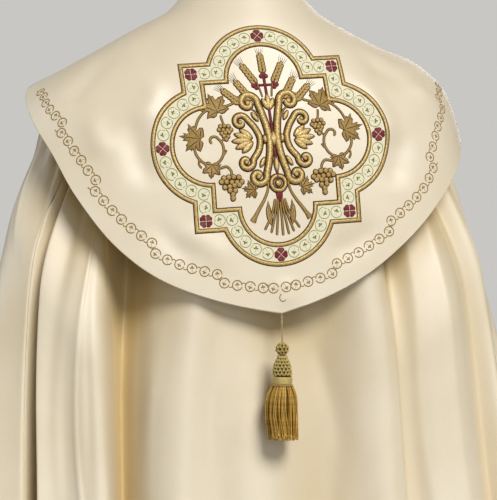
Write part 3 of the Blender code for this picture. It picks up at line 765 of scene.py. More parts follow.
def satin(name, colour, deep, hollow, layer, roughness=0.44):
    """Ivory satin: pale and glossy on its floats, deeper between them, and with a golden painted shade down
    in the folds and under the hood's edge.
    """
    made, tree, shader = new_material(name)
    weave = place_group(tree, bpy.data.node_groups["Satin weave"], {"Place": place_from(tree, layer)})
    tone = stretch(tree, weave.outputs["Tone"], 0.33, 0.63)
    ivory = mix_colour(tree, tone, (*deep, 1), (*colour, 1))
    # Painted shade: the golden colour is mixed in by the mantle's kept painted shade, in its folds and under
    # the hood's edge
    fold = tree.nodes.new("ShaderNodeAttribute")
    fold.attribute_name = PAINTED_SHADE_LAYER
    golden = mix_colour(tree, fold.outputs["Fac"], ivory, (*hollow, 1))
    tree.links.new(golden, shader.inputs["Base Color"])
    rough = stretch(tree, weave.outputs["Tone"], 0.25, 0.75, roughness + 0.08, roughness - 0.04)
    tree.links.new(rough, shader.inputs["Roughness"])
    shader.inputs["Specular IOR Level"].default_value = 1.0
    shader.inputs["Sheen Weight"].default_value = 0.22
    shader.inputs["Sheen Roughness"].default_value = 0.45
    bump(tree, shader, weave.outputs["Height"], 0.42, 0.00026)
    return made


def stitched(name, light, dark, layer="thread", pitch=0.0006, slant=0.25, roughness=0.40, metallic=0.25,
             breaks=0.5, depth=0.00018, sheen=0.0, gloss=0.4, edge=0.75):
    """Embroidery thread with painted shade: light on each stitch's crown, darker between stitches and towards
    a shape's edge.
    """
    made, tree, shader = new_material(name)
    values = {"Place": place_from(tree, layer), "Pitch": pitch, "Slant": slant, "Breaks": breaks}
    stitch = place_group(tree, bpy.data.node_groups["Satin stitch"], values)
    shade = stretch(tree, stitch.outputs["Shade"], 0.2, 0.85)
    # Painted shade towards a shape's edge, from its kept rise; on tubes the kept value is a random paleness
    # of each strand instead
    if layer == "thread":
        rise = tree.nodes.new("ShaderNodeAttribute")
        rise.attribute_name = RISE_LAYER
        crown = stretch(tree, rise.outputs["Fac"], 0.35, 0.95, 1.0 - edge, 1.0)
        shade = math_node(tree, "MULTIPLY", shade, crown)
    tree.links.new(mix_colour(tree, shade, (*dark, 1), (*light, 1)), shader.inputs["Base Color"])
    tree.links.new(stretch(tree, stitch.outputs["Shade"], 0.2, 0.9, roughness + 0.14, roughness - 0.04),
                   shader.inputs["Roughness"])
    shader.inputs["Metallic"].default_value = metallic
    shader.inputs["Specular IOR Level"].default_value = gloss
    shader.inputs["Sheen Weight"].default_value = sheen
    bump(tree, shader, stitch.outputs["Height"], 0.6, depth)
    return made


def make_materials():
    """Every finish of the garment, by its plain name."""
    if "Satin weave" not in bpy.data.node_groups:
        make_weave_group()
        make_stitch_group()
    colours = bpy.context.scene.cope_colours
    ivory, deep = tuple(colours.satin), tuple(colours.satin_deep)
    gold, old_gold = tuple(colours.gold), tuple(colours.gold_shade)
    # Each thread has a light colour and a dark one; the dark one is painted shade between stitches and
    # towards a shape's edge, and also a random tone where stitches break
    return {
        "satin": satin("ivory satin", ivory, deep, tuple(colours.satin_painted_shade), "cloth"),
        "gold": stitched("gold satin stitch", gold, old_gold, pitch=0.00085, metallic=0.42, breaks=0.7,
                         edge=0.9),
        "leaf": stitched("antique gold stitch", (0.55, 0.37, 0.115), (0.19, 0.10, 0.022), slant=0.6,
                         metallic=0.15, roughness=0.42),
        "wheat": stitched("wheat gold stitch", (0.72, 0.50, 0.18), (0.22, 0.12, 0.028), slant=0.5,
                          metallic=0.2),
        "outline": stitched("brown outline stitch", (0.095, 0.042, 0.012), (0.035, 0.014, 0.005),
                            pitch=0.0009, metallic=0.0, roughness=0.8, gloss=0.1, edge=0.0),
        "vine": stitched("golden brown line", (0.42, 0.27, 0.045), (0.17, 0.10, 0.014), pitch=0.0011,
                         metallic=0.0, roughness=0.6, gloss=0.2, edge=0.3),
        "green line": stitched("grey green line", (0.30, 0.31, 0.13), (0.14, 0.15, 0.06), pitch=0.001,
                               metallic=0.0, roughness=0.6, gloss=0.2, edge=0.2),
        "green": stitched("green stitch", (0.22, 0.27, 0.055), (0.07, 0.09, 0.02), pitch=0.0005, metallic=0.0,
                          roughness=0.5),
        "pale ground": stitched("pale ground stitch", (0.87, 0.82, 0.60), (0.76, 0.70, 0.47), pitch=0.0009,
                                slant=0.1, metallic=0.0, roughness=0.55, breaks=0.35, edge=0.0),
        "crimson": stitched("crimson stitch", (0.27, 0.013, 0.022), (0.075, 0.003, 0.008), metallic=0.0),
        "cord": stitched("olive cord", (0.52, 0.40, 0.17), (0.20, 0.14, 0.045), layer=None, pitch=0.0012,
                         metallic=0.15, roughness=0.42),
        "crochet": stitched("olive crochet", (0.70, 0.56, 0.21), (0.36, 0.25, 0.06), pitch=0.0008,
                            metallic=0.2, roughness=0.4, edge=0.0),
        # Painted shadow: the core is real, and its dark colour stands in for the shade seen between crochet
        # stitches
        "shadow": stitched("dark core", (0.20, 0.135, 0.04), (0.09, 0.055, 0.015), layer=None, pitch=0.0012,
                           metallic=0.0, roughness=0.7),
        "collar": stitched("pale gold wrapping", (0.76, 0.60, 0.24), (0.40, 0.28, 0.08), pitch=0.0009,
                           metallic=0.2, roughness=0.4, edge=0.0),
        "fringe": stitched("golden fringe", (1.0, 0.69, 0.17), (0.34, 0.16, 0.014), pitch=0.0013, slant=0.9,
                           metallic=0.2, roughness=0.34, edge=0.8),
    }


FINISHES = {}


def finish_of(name):
    if not FINISHES:
        FINISHES.update(make_materials())
    return FINISHES[name]


# ---------------------------------------------------------------- cloth

CREASE_METRES = 0.4
INNER_SHARE = 3


def cloth_places(outer):
    """Flat places of a grid of cloth: metres across from its middle column and down from its first row."""
    across, down = grid_distances(outer, 1), grid_distances(outer, 0)
    middle = outer.shape[1] // 2
    return np.stack([across - across[:, middle:middle + 1], -down], axis=-1)


def mantle_grid(first, last, per_fold, rows):
    """Outer and inner faces of the mantle between two fold lines, with creases, seams and turned edges, and
    the painted shade of its folds and under the hood's edge.
    """
    places = np.linspace(first, last, (last - first) * per_fold + 1)
    falls = HEM_FALL * np.linspace(0, 1, rows) ** 1.12
    angle, height = mantle_angle(places, falls)
    fall = np.broadcast_to(falls[:, None], angle.shape)
    points = body_point(angle, fall)
    step = 0.004
    metre = np.linalg.norm(body_point(angle + step, fall) - points, axis=2) / step
    open_front = ease(np.abs(angle), 1.5, 1.9) * 0.7
    small = np.zeros(angle.shape)
    for crease in MANTLE_CREASES:
        middle = np.clip((crease.fall_a + crease.fall_b) / 2, 0, HEM_FALL)
        scale = CREASE_METRES / np.interp(middle, falls, metre[:, len(places) // 2])
        ends = {end: math.radians(getattr(crease, end)) * CREASE_METRES for end in ("angle_a", "angle_b")}
        width = max(crease.width * scale, crease.width * CREASE_METRES)
        small += line_relief(angle * CREASE_METRES, fall, [crease._replace(width=width, **ends)])
    drape = 0.0016 * np.sin(angle * 9.3 + fall * 3.1) * np.sin(fall * 7.9 + angle * 2.7)
    height = height + (small + drape * ease(fall, 0.3, 0.6)) * np.maximum(ease(fall, 0.20, 0.30), open_front)
    down = 1 - ease(np.abs(HEM_FALL - HEM_TURNING - fall), 0.0, 0.005)
    height = height - 0.0007 * down - 0.0006 * ease(fall, HEM_FALL - 0.004, HEM_FALL)
    edge_angle, edge_fall = hood_edge(np.linspace(-1, 1, 81))
    below = fall - np.interp(angle, edge_angle, edge_fall)
    hollow_angles = np.radians(HOLLOW_ANGLES)
    hollow = smooth_between(np.clip(angle, hollow_angles[0], hollow_angles[-1]), hollow_angles, HOLLOW_DEPTHS)
    height = height - hollow * ease(below, *HOLLOW_ABOVE) * (1 - ease(below, *HOLLOW_BELOW))
    # Painted shade: deeper where the cloth lies low in its folds, and a painted shadow under the hood's lower
    # edge; it only colours the satin
    shade = PAINTED_SHADE_TOP - height + hollow * (1 - ease(below, *PAINTED_SHADOW_BELOW))
    across = grid_distances(points, 1)
    for end, line in ((across, first), (across[:, -1:] - across, last)):
        if line in SEAM_LINES:
            pucker = 0.00035 * np.sin(fall * 330 + 2 * np.sin(fall * 41))
            height = height - (0.0014 - pucker) * np.exp(-((end / 0.0028) ** 2))
        else:
            height = height - 0.0008 * np.exp(-(((end - EDGE_TURNING) / 0.0024) ** 2))
    normal = body_outward(angle, fall)
    outer = points + normal * height[..., None]
    across_step, down_step = np.gradient(outer, axis=1), np.gradient(outer, axis=0)
    normal = unit(np.cross(down_step, across_step))
    for end, neighbour, line in ((0, 1, first), (-1, -2, last)):
        if line in SEAM_LINES:
            outer[:, end] += unit(outer[:, neighbour] - outer[:, end]) * SEAM_GAP / 2
    return outer, outer - normal * CLOTH * 0.9, np.clip(shade / PAINTED_SHADE_DEPTH, 0, 1)


def add_mantle():
    """The three widths of the mantle, each a sheet of its own."""
    settings = bpy.context.scene.cope_cloth
    rows = settings.mantle_rows
    for name, first, last in zip(("mantle_left", "mantle_back", "mantle_right"), PANEL_ENDS, PANEL_ENDS[1:]):
        outer, inner, depth = mantle_grid(first, last, settings.columns_per_fold, rows)
        points, faces, flats = closed_cloth(outer, inner, rows // INNER_SHARE)
        piece = add_object(name + "_cloth", points, faces, finish_of("satin"), flats)
        # Keeps the painted shade of the folds and under the hood's edge for the satin's colour
        keep_values(piece, PAINTED_SHADE_LAYER, np.concatenate([depth.ravel(), np.zeros(len(points) - depth.size)]))
        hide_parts(name)


def add_hood():
    """The shield hood, with rows closer together towards its lower edge, which is rolled round."""
    settings = bpy.context.scene.cope_cloth
    across = np.linspace(-1, 1, settings.hood_columns + 1)
    down = 1 - (1 - np.linspace(0, 1, settings.hood_rows)) ** 1.35
    outer = hood_point(across[None, :], down[:, None])
    normal = unit(np.cross(np.gradient(outer, axis=0), np.gradient(outer, axis=1)))
    crown = HOOD_CLOTH / 2
    edge_in = unit(outer[-2] - outer[-1])
    inner = outer - normal * HOOD_CLOTH
    rolled = []
    for turn in np.linspace(0, math.pi, 9)[1:-1]:
        middle = outer[-1] - normal[-1] * crown + edge_in * crown
        rolled.append(middle + normal[-1] * crown * math.cos(turn) - edge_in * crown * math.sin(turn))
    outer[-1] += edge_in * crown
    inner[-1] += edge_in * crown
    points, faces, flats = closed_cloth(np.concatenate([outer, rolled]), inner, len(down) // INNER_SHARE)
    piece = add_object("hood_cloth", points, faces, finish_of("satin"), flats)
    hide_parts("hood")


# ---------------------------------------------------------------- stage


def add_stage():
    """A pale floor, soft studio light and the camera behind the wearer's left."""
    scene = bpy.context.scene
    settings = scene.cope_stage
    turn = settings.camera_turn
    towards = Vector((-math.sin(turn), -math.cos(turn), 0))
    right = Vector((math.cos(turn), -math.sin(turn), 0))
    data = bpy.data.cameras.new("camera")
    data.lens = settings.lens
    data.sensor_fit = "VERTICAL"
    data.sensor_height = 24
    camera = bpy.data.objects.new("camera", data)
    camera.location = right * settings.camera_aside + Vector((0, 0, settings.camera_height))
    camera.location += towards * settings.camera_distance
    camera.rotation_euler = (math.pi / 2, 0, -turn)
    scene.collection.objects.link(camera)
    scene.camera = camera

    low = CAD_BOX[0].z - settings.hem_above_floor
    turns = np.linspace(0, 2 * math.pi, 96, endpoint=False)
    rim = [(settings.floor_radius * math.cos(a), settings.floor_radius * math.sin(a), low) for a in turns]
    mesh = bpy.data.meshes.new("studio_floor")
    mesh.from_pydata(rim, [], [list(range(len(rim)))])
    made, tree, shader = new_material("pale studio paper")
    place = place_from(tree, None)
    colour = mix_colour(tree, noise(tree, place, 1.3, 2.0), (*settings.floor_colour, 1),
                        (*[tone * 0.94 for tone in settings.floor_colour], 1))
    tree.links.new(colour, shader.inputs["Base Color"])
    shader.inputs["Roughness"].default_value = 0.9
    bump(tree, shader, noise(tree, place, 240.0, 2.0), 0.15, 0.0005)
    mesh.materials.append(made)
    floor = bpy.data.objects.new("studio_floor", mesh)
    scene.collection.objects.link(floor)

    for label, name in (("key", "key light"), ("front", "front light"), ("fill", "left fill light"),
                        ("far", "light on the far side")):
        lamp = bpy.data.lights.new(name, "SUN")
        lamp.energy = getattr(settings, label + "_power")
        lamp.angle = getattr(settings, label + "_width")
        lamp.color = getattr(settings, label + "_colour")
        aside, rise = getattr(settings, label + "_turn"), getattr(settings, label + "_rise")
        place = (right * math.sin(aside) + towards * math.cos(aside)) * math.cos(rise)
        place += Vector((0, 0, math.sin(rise)))
        holder = bpy.data.objects.new(name, lamp)
        holder.location = place * 3
        holder.rotation_euler = (-place).to_track_quat("-Z", "Y").to_euler()
        scene.collection.objects.link(holder)
    scene.world = studio_air(settings)
    scene.view_settings.view_transform = "Standard"


def studio_air(settings):
    """A weak warm light from all round, with pale paper to be seen behind the garment."""
    world = bpy.data.worlds.new("studio air")
    world.use_nodes = True
    tree = world.node_tree
    air = tree.nodes["Background"]
    air.inputs["Color"].default_value = (*settings.air_colour, 1)
    air.inputs["Strength"].default_value = settings.air_strength
    paper = tree.nodes.new("ShaderNodeBackground")
    paper.inputs["Color"].default_value = (*settings.paper_colour, 1)
    seen = tree.nodes.new("ShaderNodeMixShader")
    tree.links.new(tree.nodes.new("ShaderNodeLightPath").outputs["Is Camera Ray"], seen.inputs[0])
    tree.links.new(air.outputs[0], seen.inputs[1])
    tree.links.new(paper.outputs[0], seen.inputs[2])
    tree.links.new(seen.outputs[0], tree.nodes["World Output"].inputs["Surface"])
    return world


# ---------------------------------------------------------------- embroidery, drawn flat in millimetres

MM = 0.001
SUNK = -0.0003
ROUND_PROFILE = ((-1.0, -0.2), (-0.93, 0.38), (-0.72, 0.74), (-0.4, 0.94), (0.0, 1.0), (0.4, 0.94),
                 (0.72, 0.74), (0.93, 0.38), (1.0, -0.2))
LINE_PROFILE = ((-1.0, -0.4), (-0.6, 0.8), (0.0, 1.0), (0.6, 0.8), (1.0, -0.4))
PAD_RINGS = ((1.0, -0.2), (0.95, 0.45), (0.84, 0.76), (0.62, 0.93), (0.32, 1.0))
DESIGN_AXIS = 1.6
DESIGN_AXIS_LEAN = -0.022


class Stitches:
    """Raised thread shapes on the flat design, gathered into one piece of one thread."""

    def __init__(self):
        self.points, self.heights, self.threads, self.rises, self.faces = [], [], [], [], []
        self.count = 0
        self.reset()

    def reset(self):
        self.put(np.zeros(2), np.eye(2))

    def put(self, origin, matrix):
        """Where the shapes that follow are drawn: their own axes, and their origin on the design."""
        self.origin = np.asarray(origin, float)
        self.matrix = np.asarray(matrix, float)

    def add(self, points, heights, faces, threads, rises):
        """rises are 0 at a shape's edge and 1 on its crown."""
        flat = self.origin + np.asarray(points) @ self.matrix.T
        if np.linalg.det(self.matrix) < 0:
            faces = [face[::-1] for face in faces]
        self.points.append(flat)
        self.heights.append(np.asarray(heights))
        self.threads.append(np.asarray(threads))
        self.rises.append(np.asarray(rises))
        self.faces += [[corner + self.count for corner in face] for face in faces]
        self.count += len(flat)

    def band(self, path, width, height, ends="round", base=0.0, profile=ROUND_PROFILE):
        """A padded band along a path. Its width and height may be one number or one for each point."""
        path = np.asarray(path, float)
        count = len(path)
        along = distances(path)
        tangent = unit(np.gradient(path, axis=0))
        half = np.full(count, np.asarray(width, float) / 2)
        tall = np.full(count, np.asarray(height, float))
        if ends != "flat":
            reach = np.minimum(along, along[-1] - along)
            cap = half if ends == "round" else along[-1] * 0.3
            share = np.clip(reach / np.maximum(cap, 1e-6), 0, 1)
            narrow = np.sqrt(1 - (1 - share) ** 2) if ends == "round" else share**0.7
            half = half * np.maximum(narrow, 0.04)
            tall = tall * np.maximum(narrow, 0.3) ** 0.5
        aside = np.stack([-tangent[:, 1], tangent[:, 0]], axis=-1)
        offsets, shares = np.array(profile).T
        points = path[:, None, :] + aside[:, None, :] * (half[:, None] * offsets)[..., None]
        heights = tall[:, None] * np.maximum(shares, 0) + np.where(shares < 0, SUNK, 0.0) + base
        threads = np.stack(np.broadcast_arrays(along[:, None], half[:, None] * offsets), axis=-1)
        wide = len(profile)
        faces = grid_faces(count, wide, flip=True).tolist() + end_faces(count, wide, flip=True)
        rises = np.tile(np.maximum(shares, 0), count)
        self.add(points.reshape(-1, 2), heights.ravel(), faces, threads.reshape(-1, 2), rises)

    def line(self, path, width, height=0.4 * MM, ends="round", base=0.0):
        self.band(path, width, height, ends, base, LINE_PROFILE)

    def pad(self, outline, height, centre=None, base=0.0, grain=0.0):
        """A domed pad inside an outline that can be seen whole from its centre. grain turns its threads."""
        outline = np.asarray(outline, float)
        centre = outline.mean(axis=0) if centre is None else np.asarray(centre, float)
        count = len(outline)
        rings = [centre + (outline - centre) * share for share, _ in PAD_RINGS] + [centre[None, :]]
        heights = [np.full(count, base + (height * rise if rise > 0 else SUNK)) for _, rise in PAD_RINGS]
        heights.append(np.array([base + height]))
        points = np.concatenate(rings)
        turn = np.array(((math.cos(grain), -math.sin(grain)), (math.sin(grain), math.cos(grain))))
        faces = grid_faces(len(PAD_RINGS), count, ring=True).tolist()
        middle = len(PAD_RINGS) * count
        inner = middle - count
        faces += [[inner + col, middle, inner + (col + 1) % count] for col in range(count)]
        area = np.cross(outline - centre, np.roll(outline, -1, axis=0) - centre).sum()
        if area > 0:
            faces = [face[::-1] for face in faces]
        rises = np.append(np.repeat([max(rise, 0) for _, rise in PAD_RINGS], count), 1.0)
        self.add(points, np.concatenate(heights), faces, (points - centre) @ turn, rises)

    def make(self, name, finish, slot):
        flat = np.concatenate(self.points)
        laid = DESIGN.lay(flat, np.concatenate(self.heights))
        threads = np.concatenate(self.threads)
        made = add_object(name, laid, self.faces, finish_of(finish), threads, "thread")
        keep_values(made, RISE_LAYER, np.concatenate(self.rises))
        return made


def turned(points, angle):
    """Flat points turned about the origin."""
    cosine, sine = math.cos(angle), math.sin(angle)
    return np.asarray(points, float) @ np.array(((cosine, sine), (-sine, cosine)))


def smooth_path(points, step=0.8 * MM):
    """A smooth path through a few points."""
    points = np.asarray(points, float) * MM
    along = distances(points)
    count = max(int(along[-1] / step), 4) + 1
    places = np.linspace(0, along[-1], count)
    return np.stack([smooth_between(places, along, points[:, axis]) for axis in (0, 1)], axis=-1)


def spiral(centre, start_radius, end_radius, start, end, step=0.7 * MM):
    """Part of a spiral between two angles in degrees, with its radius changing evenly."""
    reach = abs(math.radians(end - start)) * (start_radius + end_radius) / 2 * MM
    angle = np.radians(np.linspace(start, end, max(int(reach / step), 8)))
    radius = np.linspace(start_radius, end_radius, len(angle))
    ring = np.stack([np.cos(angle) * radius, np.sin(angle) * radius], axis=-1)
    return (np.asarray(centre, float) + ring) * MM


def circle(count):
    """Points on a circle of radius one about the origin."""
    turns = np.radians(np.linspace(0, 360, count, endpoint=False))
    return np.stack([np.cos(turns), np.sin(turns)], axis=-1)


def point_at(path, along, place):
    """The point of a path at a distance along it."""
    return np.array([np.interp(place, along, path[:, axis]) for axis in (0, 1)])


def ellipse(long, wide, count):
    """An outline pointed a little at both ends, lying along the first axis, in metres."""
    angle = np.linspace(0, 2 * math.pi, count, endpoint=False)
    aside = np.sin(angle) * np.abs(np.sin(angle)) ** 0.15
    return np.stack([np.cos(angle) * long / 2, aside * wide / 2], axis=-1)


def grown(outline, by, centre=None):
    """An outline moved outwards, as seen from its centre."""
    centre = outline.mean(axis=0) if centre is None else centre
    reach = outline - centre
    return centre + reach * (1 + by / np.maximum(np.linalg.norm(reach, axis=1, keepdims=True), 1e-9))


class Motifs:
    """The threads of the medallion and how its motifs are worked with them."""

    # (angle from the tip, reach) down one side of a vine leaf
    LEAF_SIDE = ((0, 1.00), (9, 0.74), (15, 0.80), (25, 0.52), (37, 0.70), (45, 0.78), (54, 0.95), (63, 0.74),
                 (72, 0.73), (84, 0.46), (96, 0.60), (111, 0.76), (122, 0.58), (138, 0.50), (156, 0.38),
                 (172, 0.20))
    LEAF_RIBS = ((0, 0.86), (52, 0.80), (-52, 0.80), (108, 0.60), (-108, 0.60))

    def __init__(self, names):
        self.threads = {name: Stitches() for name in names}

    def side(self, mirror):
        """Draws what follows to the right of the design's axis, or mirrored to its left."""
        matrix = np.array(((mirror, DESIGN_AXIS_LEAN), (0, 1)))
        for stitches in self.threads.values():
            stitches.put((DESIGN_AXIS * MM, 0), matrix)

    def band(self, thread, path, width, height, outline=0.0, **more):
        """A padded band, with a dark line showing on both sides of it where outline is given."""
        if outline:
            self.threads["outline"].band(path, np.asarray(width) + 2 * outline, height * 0.35, **more)
        self.threads[thread].band(path, width, height, **more)

    def pad(self, thread, outline, height, rim=0.0, **more):
        if rim:
            self.threads["outline"].pad(grown(outline, rim, more.get("centre")), height * 0.45,
                                        centre=more.get("centre"))
        self.threads[thread].pad(outline, height, **more)

    def leaf(self, centre, size, direction, thread="leaf"):
        """A five-lobed vine leaf with a dark edge and ribs. direction is where its tip points, in degrees."""
        half = [(math.radians(angle), reach) for angle, reach in self.LEAF_SIDE]
        polar = [(-angle, reach) for angle, reach in half[::-1]] + half[1:]
        uneven = [1 + 0.05 * math.sin(3.1 * index + direction) for index in range(len(polar))]
        outline = np.array([(math.cos(a) * r * k, math.sin(a) * r * k) for (a, r), k in zip(polar, uneven)])
        middle = np.asarray(centre, float) * MM
        outline = turned(outline * size * MM, math.radians(direction)) + middle
        self.pad(thread, outline, 1.1 * MM, rim=1.0 * MM, centre=middle, grain=math.radians(direction))
        stalk = turned((-0.16, 0), math.radians(direction)) * size * MM + middle
        for angle, reach in self.LEAF_RIBS:
            tip = turned((reach, 0), math.radians(direction + angle)) * size * MM + middle
            rib = stalk + (tip - stalk) * np.linspace(0, 1, 9)[:, None]
            self.threads["outline"].line(rib, 1.35 * MM, 0.3 * MM, ends="point", base=1.0 * MM)

    def grape(self, centre, radius):
        outline = circle(14) * radius * MM + np.asarray(centre) * MM
        self.pad("wheat", outline, radius * 0.8 * MM, rim=0.75 * MM, grain=centre[0])

    def grapes(self, top, radius, rows):
        """A bunch that hangs from its top, in rows of so many grapes."""
        for row, count in enumerate(rows):
            for index in range(count):
                aside = (index - (count - 1) / 2) * radius * 1.95
                wander = 0.25 * radius * math.sin(7.3 * index + 3.9 * row)
                low = radius * (1 + row * 1.62)
                self.grape((top[0] + aside + wander * 0.4, top[1] - low + wander), radius)

    def ear(self, foot, tip):
        """An ear of wheat: two rows of grains up a stalk, and its beard."""
        foot, tip = np.asarray(foot, float), np.asarray(tip, float)
        length = np.linalg.norm(tip - foot)
        turn = math.atan2(tip[1] - foot[1], tip[0] - foot[0])
        for awn in (-15, -7.5, 0, 7.5, 15):
            spread = math.radians(awn)
            root = np.array((length * 0.62, math.sin(spread) * 8))
            end = root + np.array((math.cos(spread), math.sin(spread))) * length * 0.38
            path = (foot + turned(np.linspace(root, end, 6), turn)) * MM
            self.threads["outline"].line(path, 0.75 * MM, 0.35 * MM, ends="point")
        for pair in range(5):
            for way in (-1, 1):
                at = np.array((length * (0.10 + 0.125 * pair), way * 2.2 * (1 - 0.05 * pair)))
                grain = turned(ellipse(length * 0.21, 3.7, 12), way * 0.42) + at
                self.pad("wheat", (foot + turned(grain, turn)) * MM, 1.3 * MM, rim=0.95 * MM,
                         grain=turn + way * 0.42)
        crown = turned(ellipse(length * 0.2, 3.5, 12) + np.array((length * 0.69, 0)), turn)
        self.pad("wheat", (foot + crown) * MM, 1.3 * MM, rim=0.7 * MM, grain=turn)

    def blade(self, foot, tip, width, bend, thread="leaf"):
        """A pointed grass leaf with a middle rib."""
        foot, tip = np.asarray(foot, float), np.asarray(tip, float)
        middle = (foot + tip) / 2 + turned((0, bend), math.atan2(tip[1] - foot[1], tip[0] - foot[0]))
        path = smooth_path((foot, middle, tip))
        share = np.linspace(0, 1, len(path))
        widths = width * MM * (0.25 + np.sin(math.pi * share**0.8)) / 1.25
        self.band(thread, path, widths, 0.9 * MM, outline=0.8 * MM, ends="point")
        self.threads["outline"].line(path[2:-2], 0.45 * MM, 0.2 * MM, ends="point", base=0.8 * MM)

    def vine(self, points, width, curl=None):
        """A stem through a few points, with a small dark edge."""
        path = smooth_path(points)
        if curl:
            path = np.concatenate([path, spiral(*curl)])
        self.band("leaf", path, np.asarray(width) * MM, 0.9 * MM, outline=0.7 * MM)

    def make(self, prefix, slots):
        made = {}
        for name, stitches in self.threads.items():
            if stitches.count:
                slot = slots.get(name, "gold_thread")
                made[name] = stitches.make(prefix + name, name, slot)
        return made


# ---------------------------------------------------------------- the medallion's frame


def quatrefoil(inset, lobe_points=40, side_points=9):
    """The medallion's outline in metres, moved in by inset: four lobes between four square corners."""
    half = MEDALLION_HALF - inset
    radius = LOBE_RADIUS - inset
    notch = math.acos((half - LOBE_CENTRE) / radius)
    turns = np.linspace(-notch, notch, lobe_points)
    lobe = np.stack([radius * np.sin(turns), LOBE_CENTRE + radius * np.cos(turns)], axis=-1)
    shares = np.linspace(0, 1, side_points, endpoint=False)[:, None]
    corner = np.array((-half, half))
    side = corner + (lobe[0] - corner) * shares
    far_side = lobe[-1] + (corner * (-1, 1) - lobe[-1]) * (shares + 1 / side_points)
    quarter = np.concatenate([side, lobe, far_side[:-1]])
    return np.concatenate([turned(quarter, -turn * math.pi / 2) for turn in range(4)])


def frame_band(stitches, inset, width, height, profile=ROUND_PROFILE):
    """A band all round the quatrefoil, mitred at its corners."""
    offsets, shares = np.array(profile).T
    rails = np.stack([quatrefoil(inset + offset * width / 2) for offset in offsets])
    heights = height * np.maximum(shares, 0) + np.where(shares < 0, SUNK, 0.0)
    along = distances(rails[len(profile) // 2])
    count = rails.shape[1]
    threads = np.stack(np.broadcast_arrays(along[None, :], offsets[:, None] * width / 2), axis=-1)
    heights = np.repeat(heights[:, None], count, axis=1)
    faces = grid_faces(len(profile), count, ring=True).tolist()
    rises = np.repeat(np.maximum(shares, 0), count)
    stitches.add(rails.reshape(-1, 2), heights.ravel(), faces, threads.reshape(-1, 2), rises)


def eighths(inset):
    """The eight stretches of the outline between a corner and the middle of a lobe."""
    outline = quatrefoil(inset, 121, 40)
    quarter = len(outline) // 4
    stretches = []
    for turn in range(4):
        path = np.roll(outline, -turn * quarter, axis=0)[:quarter + 1]
        middle = quarter // 2
        stretches += [path[:middle + 1], path[middle:][::-1]]
    return stretches


def sprig(stitches, stalk, direction, size):
    """Three small leaves on a short stalk."""
    for turn, reach in ((0, 1.0), (70, 0.85), (-70, 0.85)):
        leaf = turned(ellipse(size * 1.25, size * 0.85, 8) + np.array((size * 0.72, 0)),
                      math.radians(direction + turn)) * reach
        stitches.pad(leaf * MM, 0.45 * MM, grain=turn)
    root = turned(((-stalk, stalk * 0.25), (-stalk * 0.5, 0.0), (0.0, 0.0)), math.radians(direction))
    stitches.line(smooth_path(root, 0.6 * MM), 0.5 * MM, 0.3 * MM)


def flower(red, pale, direction):
    """Four crimson petals with a pale cross between them."""
    for quarter in range(4):
        angle = math.radians(direction + quarter * 90)
        turns = np.radians(np.linspace(0, 360, 20, endpoint=False))
        reach = 4.4 * (1 - 0.08 * np.cos(2 * turns) - 0.20 * np.maximum(np.cos(turns), 0) ** 16)
        petal = np.stack([4.7 + reach * np.cos(turns), reach * np.sin(turns)], axis=-1)
        red.pad(turned(petal, angle) * MM, 0.9 * MM, grain=angle)
        start, end = turned(((1.0, 0.0), (6.6, 0.0)), angle + math.pi / 4) * MM
        pale.line(start + (end - start) * np.linspace(0, 1, 6)[:, None], 1.0 * MM, 1.0 * MM)
    pale.pad(circle(20) * 0.8 * MM, 1.3 * MM)


def add_medallion_frame():
    """Padded gold lines, the pale band between them, its vine of circles and its crimson flowers."""
    dark, ground, vine, green, red, pale = (Stitches() for _ in range(6))
    for name, inset in (("outer", GOLD_LINE / 2), ("inner", INNER_LINE_INSET + GOLD_LINE / 2)):
        gold = Stitches()
        frame_band(gold, inset, GOLD_LINE * 0.80, 1.7 * MM)
        made = gold.make("medallion_" + name + "_gold", "gold", "gold_thread")
        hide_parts("medallion_" + name + "_line")
        frame_band(dark, inset, GOLD_LINE * 1.36, 0.60 * MM, LINE_PROFILE)
    flat_profile = tuple((offset, 1.0) for offset in np.linspace(-1, 1, 9))
    middle = (GOLD_LINE + INNER_LINE_INSET) / 2
    frame_band(ground, middle, INNER_LINE_INSET - GOLD_LINE, 0.22 * MM, flat_profile)
    for index, path in enumerate(eighths(middle)):
        along = distances(path)
        flower_room = 8.6 * MM
        pitch = (along[-1] - 2 * flower_room) / 6
        mirror = 1 if index % 2 == 0 else -1
        for number in range(6):
            at = flower_room + pitch * (number + 0.5)
            centre, ahead = point_at(path, along, at), point_at(path, along, at + 1 * MM)
            heading = math.atan2(ahead[1] - centre[1], ahead[0] - centre[0])
            axes = turned(np.eye(2), heading).T @ np.diag((1, mirror * (1 if number % 2 else -1)))
            radius = pitch / MM * 0.46
            for stitches in (vine, green):
                stitches.put(centre, axes)
            ring = spiral((0, 0), radius, radius * 0.93, -165, 150)
            tail = spiral((-radius, 0), radius * 0.35, radius * 0.12, 60, -60)
            vine.line(ring, 0.95 * MM, 0.4 * MM, base=0.2 * MM)
            vine.line(tail, 0.8 * MM, 0.35 * MM, base=0.2 * MM)
            sprig(green, radius * 0.72, 70 if number % 2 else 110, 2.8)
            vine.reset()
            green.reset()
        at, direction = (path[0], 45) if index % 2 else (path[-1], 0)
        red.put(at, np.eye(2))
        pale.put(at, np.eye(2))
        flower(red, pale, direction)
    dark.make("medallion_dark_outlines", "outline", "olive_gold_thread")
    field = ground.make("medallion_pale_ground", "pale ground", "pale_green_thread")
    vine.make("medallion_vine_circles", "green line", "pale_green_thread")
    green.make("medallion_sprigs", "green", "pale_green_thread")
    red.make("medallion_flowers", "crimson", "crimson_thread")
    pale.make("medallion_flower_crosses", "pale ground", "pale_green_thread")
    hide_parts("medallion_band")


# ---------------------------------------------------------------- the medallion's centre


